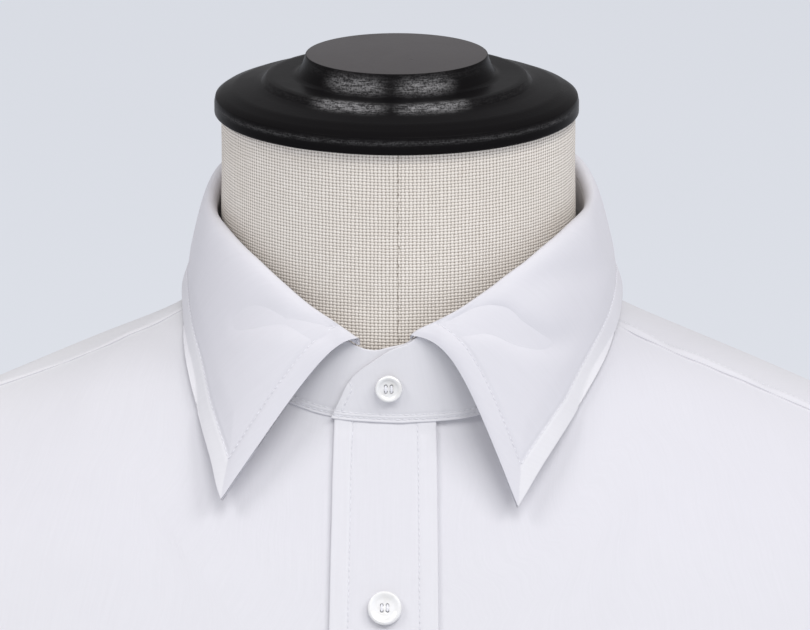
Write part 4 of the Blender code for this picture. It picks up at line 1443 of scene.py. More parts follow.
@dataclass
class DressForm:
    """The limbless form: linen covered torso, bottom board, neck cap, pole and base."""

    cover: float = 1.2 * MM
    columns: int = 96
    cap_sides: int = 160
    pole_radius: float = 17 * MM
    base_radius: float = 150 * MM
    base_height: float = 26 * MM
    # The cap's outline, in millimetres: radius and height above its seat
    cap_rings: tuple = ((62.0, 0), (62.7, 0.6), (62.7, 4.2), (62.3, 6.1), (60.5, 7.3), (56.0, 9.0),
                        (48.6, 10.3), (46.6, 10.9), (45.6, 12.1), (44.8, 12.9), (43.4, 13.2),
                        (35.4, 13.3), (34.1, 13.9), (32.7, 16.2), (31.8, 18.6), (31.3, 20.3),
                        (31.0, 20.5))
    cap_shift: float = -0.6 * MM

    def build(self) -> None:
        """Builds every piece of the form."""
        self.build_torso()
        self.build_cap()
        self.build_pole()
        self.build_base()

    def build_torso(self) -> None:
        """The linen cover, stretched on the form, and the board that closes it below."""
        drops = np.array([row[0] for row in FORM.sections], float)
        levels = np.unique(np.concatenate([np.arange(drops[0], 110, 3.5), drops,
                                           np.arange(110, drops[-1], 12)]))
        angles = np.arange(self.columns) * 360 / self.columns - 180
        outer = np.stack([FORM.around(angles, LEVELS.height(d)) for d in levels])
        slim = 1 - 0.009 * ease_in((-14 - levels) / 40)
        outer[..., :2] *= slim[:, None, None]
        inner = outer - grid_normals(outer, True, False) * self.cover
        wall = Wall(outer, inner, closed=True, bulge=0.1)
        lowest = LEVELS.height(drops[-1])
        wall.outer[-1, :, 2] = lowest
        wall.inner[-1, :, 2] = lowest
        cover = declare(wall.make("form_linen", Linen()), "linen", "form_torso")
        board = self.build_board(lowest)

    def build_board(self, lowest: float) -> bpy.types.Object:
        """The thin board inside the torso's lower end."""
        width, front, back, _ = FORM.oval(lowest)
        deselect()
        bpy.ops.mesh.primitive_cylinder_add(vertices=96, radius=1, depth=6 * MM,
                                            location=(0, 0, lowest + 3.2 * MM))
        board = bpy.context.object
        board.name = "form_board"
        bpy.ops.object.mode_set(mode="EDIT")
        bpy.ops.mesh.select_all(action="SELECT")
        inside = 0.965
        bpy.ops.transform.resize(value=(width * inside, (front + back) / 2 * inside, 1))
        bpy.ops.transform.translate(value=(0, (back - front) / 2, 0))
        bpy.ops.object.mode_set(mode="OBJECT")
        settle_in_place(board)
        round_edges(board, 0.8 * MM, 2, 40)
        board.data.materials.append(BlackLacquer().material())
        return declare(board, "black_wood")

    def build_cap(self) -> None:
        """The turned neck cap, with its steps rounded, rubbed and given painted highlights, and its
        top disk painted lighter.
        """
        seat = LEVELS.height(FORM.sections[0][0]) + CUT.gap
        outline = [(r * MM, seat + z * MM) for r, z in self.cap_rings]
        cap = shape_rings("form_cap_turned", closer(outline, 1.2 * MM), self.cap_sides)
        round_edges(cap, 0.25 * MM, 2, 28)
        # Painted highlights: the patches on the two risers stand in for the softboxes' reflections,
        # and the rim's bright line is partly painted highlight and partly rubbed lacquer.
        rubbed_and_highlit = [(*outline[2], 0.7 * MM, 0.22), (*outline[8], 1.6 * MM, 0.05),
                  (*outline[14], 1.6 * MM, 0.05)]
        left, right = (-25 * MM, -7 * MM), (3 * MM, 21 * MM)
        patches = [(*outline[8], 2.2 * MM, *left), (*outline[8], 2.2 * MM, *right),
                   (*outline[13], 2.6 * MM, left[0] + 5 * MM, left[1]),
                   (*outline[13], 2.6 * MM, right[0], right[1] - 5 * MM)]
        mark_wear(cap, rubbed_and_highlit, outline[-1][0] + 0.1 * MM, patches)
        cap.data.transform(Matrix.Translation((self.cap_shift, 0, 0)))
        cap.data.materials.append(BlackLacquer().material())
        declare(cap, "black_wood", "form_cap")

    def build_pole(self) -> None:
        """The pole, with a collar at each end."""
        top = LEVELS.height(FORM.sections[-1][0]) - CUT.gap
        bottom = self.base_height + CUT.gap
        thin, wide = self.pole_radius, self.pole_radius * 1.9
        outline = [(wide, bottom), (wide, bottom + 8 * MM), (thin, bottom + 20 * MM),
                   (thin, top - 15 * MM), (wide, top - 9 * MM), (wide, top)]
        pole = shape_rings("form_pole_turned", outline, 72)
        round_edges(pole, 1.2 * MM, 4, 20)
        mark_wear(pole, [(*outline[1], 2 * MM, 0.5), (*outline[4], 2 * MM, 0.5)])
        pole.data.materials.append(BlackLacquer().material())
        declare(pole, "black_wood", "form_pole")

    def build_base(self) -> None:
        """The round base."""
        rim = self.base_radius
        outline = [(rim - 2 * MM, 0), (rim, 2 * MM), (rim, 11 * MM), (rim - 3 * MM, 14 * MM),
                   (130 * MM, 18 * MM), (60 * MM, self.base_height)]
        base = shape_rings("form_base_turned", outline, 160)
        round_edges(base, 1.0 * MM, 3, 12)
        mark_wear(base, [(*outline[2], 2 * MM, 0.5), (*outline[3], 2 * MM, 0.5)])
        base.data.materials.append(BlackLacquer().material())
        declare(base, "black_wood", "form_base")


# The shirt's body


@dataclass
class ShirtBody:
    """The fronts, the button band, the yoke and the back."""

    step: float = 3.9 * MM
    fine: float = 0.55 * MM
    edge: float = 9 * MM
    seams: dict = field(default_factory=dict)
    # Soft creases of the body, laid out flat in millimetres
    creases: tuple = (
        Crease((-140, 20), (-230, 42), 30, -1.4),
        Crease((-262, 236), (-176, 330), 12, 4.0),
        Crease((-268, 262), (-190, 372), 9, -3.0),
        Crease((262, 236), (170, 322), 12, 4.2),
        Crease((270, 258), (196, 366), 9, -3.2),
        Crease((-120, 470), (-60, 640), 14, 3.0),
        Crease((96, 430), (140, 610), 13, -3.4),
        Crease((60, 520), (20, 690), 12, 2.4),
        Crease((-200, 420), (-232, 560), 13, 4.2),
        Crease((210, 408), (238, 540), 12, 4.0),
        Crease((330, 250), (420, 360), 14, 4.0),
        Crease((-330, 250), (-430, 352), 14, 4.4),
        Crease((400, 470), (440, 650), 16, -3.6),
        Crease((-410, 430), (-452, 620), 15, 3.8),
        Crease((560, 300), (520, 480), 18, 3.2),
    )

    def build(self) -> None:
        """Builds the body's pieces, from the inside out."""
        self.build_front(Side.RIGHT)
        self.build_front(Side.LEFT)
        self.build_band()
        self.build_yoke()
        self.build_back()

    def rows(self) -> Array:
        """Shares down a front or the back, fine near the top and the hem."""
        return graded(0.76, self.step, self.fine, self.edge, self.edge)

    def front_rest(self, side: Side, x: float, u: Array, v: Array) -> Array:
        """The part of a front from a line at x to the armhole and the side seam."""
        start = CUT.seam_angle(x)
        yoke_at = CUT.yoke_front_start(side) * side.value
        neck = CUT.neck_seam(np.linspace(start, yoke_at, NECK_STEPS * DENSE + 1))
        top = join(neck, CUT.yoke_front_seam(side, YOKE_STEPS * DENSE))
        bottom = CUT.hem(np.linspace(CUT.hem_angle(x), 90 * side.value, len(top)))
        angles = np.linspace(CUT.yoke_front_end(side), 180, FRONT_STEPS * DENSE + 1)
        outer = join(CUT.armhole(side, angles), CUT.side_seam(side, SIDE_STEPS * DENSE))
        first = CUT.front_line(x, FRONT_STEPS * DENSE, SIDE_STEPS * DENSE)
        return patch(top, bottom, first, outer, u, v)

    def front_column(self, x: float, v: Array) -> Array:
        """A line down the front at x, at the panel's rows."""
        return read_along(CUT.front_line(x, FRONT_STEPS * DENSE, SIDE_STEPS * DENSE), v)

    def build_front(self, side: Side) -> None:
        """One front. The right one carries on under the band, to its sewn edge."""
        v = self.rows()
        u = graded(0.21, self.step * 0.8, self.fine, 0.0, self.edge)
        if side is Side.RIGHT:
            under_xs = np.linspace(CUT.underlap, CUT.band_right, 10)[:-1]
            start = CUT.band_right
        else:
            under_xs = np.array([CUT.underlap])
            start = CUT.band_left
        rest = self.front_rest(side, start, u, v)
        under = np.stack([self.front_column(x, v) for x in under_xs], 1)
        grid = np.concatenate([under, rest], 1)
        columns = grid.shape[1] - 1
        neck_share = NECK_STEPS / (NECK_STEPS + YOKE_STEPS)
        yoke_from = (len(under_xs) + int(np.searchsorted(u, neck_share))) / columns
        armhole_to = np.searchsorted(v, FRONT_STEPS / (FRONT_STEPS + SIDE_STEPS)) / (len(v) - 1)
        puckered = 0.30 if side is Side.LEFT else 0.16
        yoke_seam = Seam(Border.TOP, 1.6, 0.10, 0.12, puckered, 15.0, yoke_from, 1.0)
        armhole_seam = Seam(Border.LAST, 8.5, 0.22, 0.20, 0.14, 11.0, 0.0, armhole_to)
        side_seam = Seam(Border.LAST, 6.0, 0.18, 0.16, 0.16, 12.0, armhole_to, 1.0)
        hem = Seam(Border.BOTTOM, 6.0, 0.28, 0.20, 0.12, 10.0)
        seams = (yoke_seam, armhole_seam, side_seam, hem)
        wall = shirt_wall(grid, 0.0, seams, self.creases, flip=side is Side.RIGHT)
        paths = []
        for seam in (armhole_seam, side_seam, hem):
            rows, columns_at = contour(wall.distances[seam], seam.width * MM, seam.border)
            size = len(v) - 1 if seam.border is Border.LAST else columns
            along = rows if seam.border is Border.LAST else columns_at
            keep = (along >= seam.start * size) & (along <= seam.end * size)
            paths.append(wall.read(rows[keep], columns_at[keep]))
        finish_cloth(f"front_{side.word}", wall, paths)

    def build_band(self) -> None:
        """The button band, stitched near both edges and at the hem."""
        v = self.rows()
        xs = np.unique(np.concatenate([
            np.arange(CUT.band_right, CUT.band_right + 8 * MM, 0.5 * MM),
            np.linspace(CUT.band_right + 8 * MM, CUT.band_left - 8 * MM, 12),
            np.arange(CUT.band_left, CUT.band_left - 8 * MM, -0.5 * MM)]))
        grid = np.stack([self.front_column(x, v) for x in xs], 1)
        seams = (Seam(Border.FIRST, 6.0, 0.16, 0.18, 0.08, 8.0),
                 Seam(Border.LAST, 6.0, 0.16, 0.18, 0.08, 8.6),
                 Seam(Border.BOTTOM, 6.0, 0.24, 0.18))
        wall = shirt_wall(grid, CUT.cloth + CUT.gap, seams, self.creases, columns=False)
        wall.bulge = 0.5
        paths = [read_row(wall, wall.distances[seam], seam.width * MM, seam.border)
                 for seam in seams]
        finish_cloth("button_band", wall, paths)

    def build_yoke(self) -> None:
        """The yoke, from its left front seam round the neck to its right one."""
        angles = (CUT.yoke_front_start(Side.LEFT), 360 - CUT.yoke_front_start(Side.RIGHT))
        count = (2 * TOP_STEPS + BACK_WIDTH_STEPS) * DENSE
        neck = CUT.neck_seam(np.linspace(*angles, count + 1))
        tops = {}
        for side in Side:
            turn = np.linspace(CUT.yoke_front_end(side), CUT.yoke_back_end, TOP_STEPS * DENSE + 1)
            tops[side] = CUT.armhole(side, turn)
        back = CUT.yoke_back_seam(BACK_WIDTH_STEPS * DENSE)
        outer = join(tops[Side.LEFT], back, tops[Side.RIGHT][::-1])
        first = CUT.yoke_front_seam(Side.LEFT, YOKE_STEPS * DENSE)
        last = CUT.yoke_front_seam(Side.RIGHT, YOKE_STEPS * DENSE)
        u = graded(0.62, 2.6 * MM, self.fine, 12 * MM, 10 * MM)
        v = graded(0.16, 2.6 * MM, self.fine, 0.0, self.edge)
        grid = patch(neck, outer, first, last, u, v)
        share = TOP_STEPS / (2 * TOP_STEPS + BACK_WIDTH_STEPS)
        low, high = np.searchsorted(u, (share, 1 - share)) / (len(u) - 1)
        left_seam = Seam(Border.FIRST, 4.2, 0.24, 0.10, 0.14, 21.0, humps=(
            (15, 36, 3.6, 1.6, 2.2, 1.0), (34, 74, 3.6, 1.6, 2.3, 1.1),
            (71, 96, 3.3, 1.7, 2.1, 0.9), (95, 128, 3.4, 1.8, 2.2, 0.9)))
        right_seam = Seam(Border.LAST, 2.4, 0.24, 0.10, 0.10, 17.0, humps=(
            (8, 60, 1.5, 1.3, 1.2, 0.7), (55, 118, 1.4, 1.2, 1.3, 0.8)))
        left_hole = Seam(Border.BOTTOM, 8.0, 0.16, 0.18, 0.12, 11.0, 0.0, low)
        back_seam = Seam(Border.BOTTOM, 2.0, 0.24, 0.14, 0.14, 12.0, low, high)
        right_hole = Seam(Border.BOTTOM, 8.0, 0.16, 0.18, 0.12, 11.0, high, 1.0)
        seams = (left_seam, right_seam, left_hole, back_seam, right_hole)
        wall = shirt_wall(grid, 0.0, seams, self.creases)
        paths = []
        for seam in seams:
            rows, columns = contour(wall.distances[seam], seam.width * MM, seam.border)
            if seam.border is Border.BOTTOM:
                keep = (columns >= seam.start * (len(u) - 1)) & (columns <= seam.end * (len(u) - 1))
                rows, columns = rows[keep], columns[keep]
            paths.append(wall.read(rows, columns))
        finish_cloth("yoke", wall, paths)

    def build_back(self) -> None:
        """The back, from the yoke to the hem."""
        edges = []
        for side in (Side.LEFT, Side.RIGHT):
            angles = np.linspace(CUT.yoke_back_end, -180, BACK_STEPS * DENSE + 1)
            edges.append(join(CUT.armhole(side, angles), CUT.side_seam(side, SIDE_STEPS * DENSE)))
        top = CUT.yoke_back_seam(BACK_WIDTH_STEPS * DENSE)
        bottom = CUT.hem(np.linspace(90, 270, BACK_WIDTH_STEPS * DENSE + 1))
        u = graded(0.52, self.step * 1.4, 0.7 * MM, self.edge, self.edge)
        v = graded(0.72, self.step * 1.6, 0.7 * MM, 5 * MM, self.edge)
        grid = patch(top, bottom, edges[0], edges[1], u, v)
        spans = BACK_STEPS + SIDE_STEPS
        down = smooth(v * spans, (0, BACK_STEPS, spans), (0, CUT.row_sag, 0))[:, None]
        grid[..., 2] -= down * MM * (1 - np.abs(2 * u[None] - 1) ** 3)
        armhole_to = np.searchsorted(v, BACK_STEPS / spans) / (len(v) - 1)
        seams = [Seam(Border.BOTTOM, 6.0, 0.28, 0.20, 0.12, 10.0)]
        for border in (Border.FIRST, Border.LAST):
            seams.append(Seam(border, 8.5, 0.10, 0.12, 0.12, 11.0, 0.0, armhole_to))
            seams.append(Seam(border, 1.4, 0.10, 0.10, 0.14, 12.0, armhole_to, 1.0))
        wall = shirt_wall(grid, 0.0, seams, self.creases)
        hem = read_row(wall, wall.distances[seams[0]], 6 * MM, Border.BOTTOM)
        finish_cloth("back", wall, [hem])


# The collar


@dataclass
class Collar:
    """The stand and the leaf.

    Each leaf rib is where it leaves the fold (an angle), how far and which way it reaches out
    before it turns down, and the place of its end on the leaf's lower edge in millimetres, with
    the height above the fold's own level.
    """

    fold_z: float = LEVELS.neck_point + 33 * MM
    fold_rows: tuple = ((0, -32.4), (6, -31.6), (14, -28.0), (26, -21.5), (39, -13.2), (50, -7.4),
                        (70, -1.2), (90, 0.5), (115, 6.0), (180, 12.0))
    # How much higher the fold runs on each side, by the angle from the front
    left_lift: tuple = ((0, 2.2), (2, 2.8), (5, 4.9), (8, 5.7), (16, 5.8), (25, 6.4), (30, 6.4),
                        (40, 5.2), (50, 4.5), (60, 3.8), (70, 2.7), (82, 2.0), (95, 2.6),
                        (115, 3.4), (140, 2.2), (180, 1.0))
    right_lift: tuple = ((0, 2.2), (4, 0.8), (8, -0.8), (12, -1.4), (17, -0.5), (22, 0.0),
                         (75, 0.0), (95, 1.0), (120, 1.6), (180, 1.0))
    fold_half_width: float = 66.1 * MM
    fold_off_centre: float = 0.8 * MM
    fold_front: float = 70.0 * MM
    fold_back: float = 68.0 * MM
    roll_width: float = 2.7 * MM
    roll_height: float = 4.2 * MM
    rib_turn: float = 0.22
    stitch_line: float = 6.8
    right_ribs: tuple = (
        (12.1, 9.5, 80, 59.3, -87.0, -81.5),
        (18.5, 8.5, 66, 60.8, -84.0, -78.2),
        (28, 6.5, 54, 63.0, -76.5, -71.0),
        (39, 5.0, 52, 66.2, -66.5, -63.0),
        (53, 4.4, 58, 69.5, -53.0, -54.0),
        (68, 4.4, 69, 72.8, -34.0, -43.4),
        (82, 2.8, 82, 74.4, -14.0, -35.8),
        (97, 2.8, 96, 75.4, 8.0, -32.8),
        (117, 4.2, 115, 72.2, 36.0, -31.0),
        (140, 4.2, 138, 55.6, 62.0, -30.5),
        (161, 3.5, 160, 29.0, 78.5, -30.0),
    )
    left_ribs: tuple = (
        (2.5, 14.5, 74, 39.9, -89.0, -83.5),
        (10, 10.0, 62, 42.3, -87.0, -80.0),
        (21, 6.5, 50, 48.0, -80.5, -72.0),
        (34, 5.0, 48, 55.0, -71.5, -63.5),
        (49, 4.4, 55, 62.5, -58.0, -55.0),
        (66, 4.6, 67, 71.4, -37.0, -44.3),
        (82, 1.8, 82, 76.7, -15.0, -35.8),
        (97, 3.2, 96, 78.0, 8.0, -32.8),
        (117, 3.6, 115, 74.2, 36.0, -31.0),
        (140, 4.2, 138, 57.0, 62.0, -30.5),
        (161, 3.5, 160, 29.2, 78.5, -30.0),
    )
    back_rib: tuple = (180, 3.5, 180, 0.0, 84.0, -30.0)
    # Dents of the leaf: a half width in millimetres and places with the rib counted from the left
    # front edge, the share down it and the rise in millimetres
    dents: tuple = (
        (5.0, ((0.9, 0.10, 0), (1.2, 0.165, -1.2), (1.85, 0.30, -3.0), (2.27, 0.43, -3.6),
               (2.59, 0.565, -2.6), (3.2, 0.71, -1.5), (4.0, 0.80, -0.7), (4.7, 0.86, 0))),
        (6.0, ((2.4, 0.24, 0), (2.9, 0.31, -0.4), (3.6, 0.41, -0.9), (4.6, 0.60, -0.7),
               (5.6, 0.74, 0))),
        (4.6, ((21.6, 0.14, 0), (21.28, 0.185, -0.8), (20.34, 0.30, -1.4), (19.6, 0.42, -1.1),
               (18.8, 0.60, -0.6), (18.4, 0.70, 0))),
        (10.0, ((19.8, 0.30, 0), (18.9, 0.52, -1.0), (18.4, 0.76, -0.9), (18.2, 0.92, 0))),
    )

    def build(self) -> None:
        """Builds the stand and the leaf."""
        self.build_stand()
        self.build_leaf()

    def ring_way(self, angle: Array) -> Array:
        """The level direction that points away from the neck at an angle."""
        a = np.radians(angle)
        return np.stack([np.sin(a), -np.cos(a), 0 * a], -1)

    def fold_point(self, angle: Array) -> Array:
        """The highest line of the collar, where the leaf folds over, at an angle."""
        a = np.radians(np.asarray(angle, float))
        depth = np.where(np.cos(a) > 0, self.fold_front, self.fold_back)
        x = self.fold_half_width * np.sin(a) + self.fold_off_centre
        away = from_front(angle)
        left, right = (smooth(away, *zip(*rows)) for rows in (self.left_lift, self.right_lift))
        lift = np.where(np.sin(a) > 0, left, right)
        z = self.fold_z + (smooth(away, *zip(*self.fold_rows)) + lift) * MM
        return np.stack([x, -depth * np.cos(a), z], -1)

    def stand_top(self, angle: Array) -> Array:
        """The seam between stand and leaf, on the side that faces the neck."""
        drop = self.roll_height * (0.6 + 0.4 * ease_in((from_front(angle) - 3) / 15))
        point = self.fold_point(angle) - self.ring_way(angle) * self.roll_width
        point[..., 2] -= drop
        return point

    def neck_rise(self, angle: Array) -> Array:
        """How far the outer face of the cloth stands above the neck seam, with a seam gap."""
        lean = SHIRT.facing(CUT.neck_seam(angle))[..., 2]
        under_band = (CUT.cloth + CUT.gap) * ease_in((62 - from_front(angle)) / 20)
        return lean * (CUT.cloth + under_band) + CUT.gap + 0.1 * MM

    def build_stand(self) -> None:
        """The stand, whose left end laps over its right end and is rounded at the top."""
        step = CUT.collar_cloth + CUT.gap + 0.1 * MM
        under_end = CUT.seam_angle(CUT.underlap)
        over_end = CUT.seam_angle(CUT.band_right - MM) - 360
        near_end = over_end + 12
        far = np.linspace(under_end, over_end + 54, 200)
        ramp = np.linspace(over_end + 54, near_end, 60)
        turn = np.sin(np.linspace(0, math.pi / 2, 26))
        rounded = near_end + (over_end - near_end) * turn
        angles = np.concatenate([far, ramp[1:], rounded[1:]])
        lifted = ease_in((over_end + 52 - angles) / 22) * step
        outward = self.ring_way(angles)
        bottom = CUT.neck_seam(angles) + outward * (lifted + CUT.collar_cloth)[:, None]
        bottom[:, 2] += self.neck_rise(angles) - 0.9 * MM * ease_in((60 - from_front(angles)) / 20)
        top = self.stand_top(angles) + outward * (lifted + CUT.collar_cloth)[:, None]
        past = np.clip((near_end - angles) / (near_end - over_end), 0, 1)
        keep = 1 - 0.55 * (1 - np.sqrt(np.maximum(1 - past ** 2, 0)))
        top = bottom + (top - bottom) * keep[:, None]
        shares = graded(36 * MM, 1.5 * MM, 0.4 * MM, 3 * MM, 5 * MM)[:, None, None]
        grid = top[None] * (1 - shares) + bottom[None] * shares
        facing = grid_normals(grid, False, True)
        seam = Seam(Border.BOTTOM, 2.6, 0.18, 0.22, 0.05, 9.0, lines=(0.0, 1.5))
        edge = Seam(Border.LAST, 2.2, 0.12, 0.14)
        relief, layers, far_from = add_seams(grid, (seam, edge))
        wall = Wall(grid + facing * relief[..., None], grid - facing * CUT.collar_cloth,
                    flip=True, layers=0.55 + 0.1 * layers, bulge=0.3)
        paths = [read_row(wall, far_from[seam], width * MM, Border.BOTTOM)
                 for width in (2.6, 1.1)]
        paths.append(read_row(wall, far_from[edge], 2.2 * MM, Border.LAST))
        finish_cloth("collar_stand", wall, paths)

    def rib_table(self) -> Array:
        """All ribs from the right front edge round the back to the left one."""
        right = [(-a, r, -w, -x, y, z) for a, r, w, x, y, z in self.right_ribs]
        back = [(-180, self.back_rib[1], -180, *self.back_rib[3:])]
        left = [(a - 360, r, w - 360, x, y, z) for a, r, w, x, y, z in self.left_ribs[::-1]]
        return np.array(right + back + left, float)

    def leaf_grid(self) -> tuple:
        """The leaf's outer face before its relief.

        Returns:
            The grid, each column's rib number and each row's share down the leaf.
        """
        table = self.rib_table()
        rows = np.arange(len(table))
        last = float(rows[-1])
        at = np.unique(np.round(np.concatenate([
            np.arange(0, 2.2, 0.045), np.arange(2.2, last - 2.2, 0.11),
            last - np.arange(0, 2.2, 0.045)]), 6))
        angle, reach, way, x, y, z = (smooth(at, rows, column) for column in table.T)
        seam = self.stand_top(angle)
        seam[:, 2] += CUT.gap + (0.7 - 0.4 * ease_in((from_front(angle) - 10) / 25)) * MM
        crest = self.fold_point(angle)
        inner = []
        for turn in np.radians(np.arange(0, 90, 7.5)):
            across = (crest - seam) * np.array([1, 1, 0]) * (1 - math.cos(turn))
            up = (crest - seam) * np.array([0, 0, 1]) * math.sin(turn)
            inner.append(seam + across + up)
        edge = np.stack([x * MM, y * MM, self.fold_z + z * MM], -1)
        hand = crest + self.ring_way(way) * (reach * MM)[:, None]
        turn_point = hand + (edge - hand) * self.rib_turn
        shares = np.unique(np.round(np.concatenate([
            np.arange(0, 0.12, 0.012), np.linspace(0.12, 0.84, 34),
            np.linspace(0.84, 1, 34)]), 6))
        outer = []
        for t in shares:
            outer.append(crest * (1 - t) ** 3 + hand * 3 * t * (1 - t) ** 2
                         + turn_point * 3 * t * t * (1 - t) + edge * t ** 3)
        grid = np.stack(inner + outer)
        fall = len(inner) + int(np.searchsorted(shares, 0.30))
        grid[fall:] = SHIRT.keep_off(grid[fall:], CUT.cloth + CUT.collar_cloth + 0.9 * MM)
        down = np.concatenate([np.zeros(len(inner)), shares])
        return grid, last - at, down

    def leaf_relief(self, grid: Array, rib: Array, down: Array) -> tuple:
        """Lifts the leaf's stitched edge, lays its dents and swells and sets its painted shade and
        highlight.

        Args:
            grid: The leaf's outer face.
            rib: Each column's rib number.
            down: Each row's share down the leaf.

        Returns:
            The heights in metres, the colour share from 0 to 1, which puts painted shade on the
            leaf and a lighter edge band that is partly extra plies and partly painted highlight,
            and the distance to the free edge.
        """
        outside = down > 0
        edge = join(grid[outside][:, 0], grid[-1], grid[outside][::-1, -1])
        far, place = distance_to(grid, edge, 30 * MM)
        far[~outside] = 30 * MM
        off = far / MM
        line_at = self.stitch_line
        band = 1 - ease_in((off - line_at + 0.1) / 0.5)
        total = 0.20 * band - 0.30 * bell(off - line_at - 0.2, 0.7)
        total -= 0.50 * ease_in(off / line_at) * (1 - ease_in((off - line_at) / 9.0))
        wander = np.sin(place / MM / 4.1) * np.sin(place / MM / 17.0)
        total += 0.05 * wander * bell(off - line_at, 3.0)
        for half_width, places in self.dents:
            knots = np.arange(len(places))
            steps = np.linspace(0, knots[-1], 9 * knots[-1] + 1)
            ribs, shares, depths = (smooth(steps, knots, row) for row in zip(*places))
            path = self.leaf_places(grid, rib, down, ribs, shares)
            gap, along = distance_to(grid, path, 3 * half_width * MM)
            rises = np.interp(along, lengths(path), depths)
            total += rises * bell(gap / MM, half_width) * ease_in(down / 0.08)[:, None]
        first, lower = lengths(edge[:outside.sum()])[-1], lengths(grid[-1])[-1]
        # Painted shade and highlight: the leaf gets a darker colour than the body, and its band
        # outside the stitching a lighter one, strongest near the points.
        allowance = 1 - ease_in((off - line_at + 0.8) / 1.6)
        from_tip = (lower / 2 - np.abs(place - first - lower / 2)) / MM
        lit_near_points = (from_tip > 0) * (1 - 0.8 * ease_in((from_tip - 50) / 40))
        return total * MM, 0.13 + 0.46 * allowance * lit_near_points, far

    def leaf_places(self, grid: Array, rib: Array, down: Array, ribs: Array,
                    shares: Array) -> Array:
        """The leaf's points at rib numbers and shares down it."""
        count = np.arange(len(rib))
        columns = np.interp(ribs, rib[::-1], count[::-1])
        outside = np.nonzero(down > 0)[0]
        rows = np.interp(shares, down[outside], outside)
        top, left = rows.astype(int), columns.astype(int)
        below = np.minimum(top + 1, len(down) - 1)
        right = np.minimum(left + 1, len(rib) - 1)
        s, t = (rows - top)[:, None], (columns - left)[:, None]
        upper = grid[top, left] * (1 - t) + grid[top, right] * t
        lower = grid[below, left] * (1 - t) + grid[below, right] * t
        return upper * (1 - s) + lower * s

    def build_leaf(self) -> None:
        """The leaf: it rises from the stand, folds over and falls to its points."""
        grid, rib, down = self.leaf_grid()
        relief, layers, far = self.leaf_relief(grid, rib, down)
        facing = grid_normals(grid, False, True)
        half = CUT.collar_cloth / 2
        base = grid.copy()
        base[:, 0] += unit(base[:, 1] - base[:, 0]) * half
        base[:, -1] += unit(base[:, -2] - base[:, -1]) * half
        base[-1] += unit(base[-2] - base[-1]) * half
        outer = base + facing * relief[..., None]
        inner = base - facing * CUT.collar_cloth
        wall = Wall(outer, inner, flip=True, layers=layers, bulge=0.7, plies=2)
        paths = []
        level = self.stitch_line * MM
        for border in (Border.FIRST, Border.BOTTOM, Border.LAST):
            rows, columns = contour(np.where(down[:, None] > 0, far, 0.0), level, border)
            keep = self.own_stretch(wall, rows, columns, border, level)
            paths.append(wall.read(rows[keep], columns[keep]))
        finish_cloth("collar_leaf", wall, paths)

    def own_stretch(self, wall: Wall, rows: Array, columns: Array, border: Border,
                    level: float) -> Array:
        """Keeps the crossings that lie at the level from the border that they were read from."""
        points, _ = wall.read(rows, columns)
        distance, _ = distance_to(points[None], border_of(wall.outer, border), 3 * level)
        return np.abs(distance[0] - level) < 0.9 * MM


# Sleeves


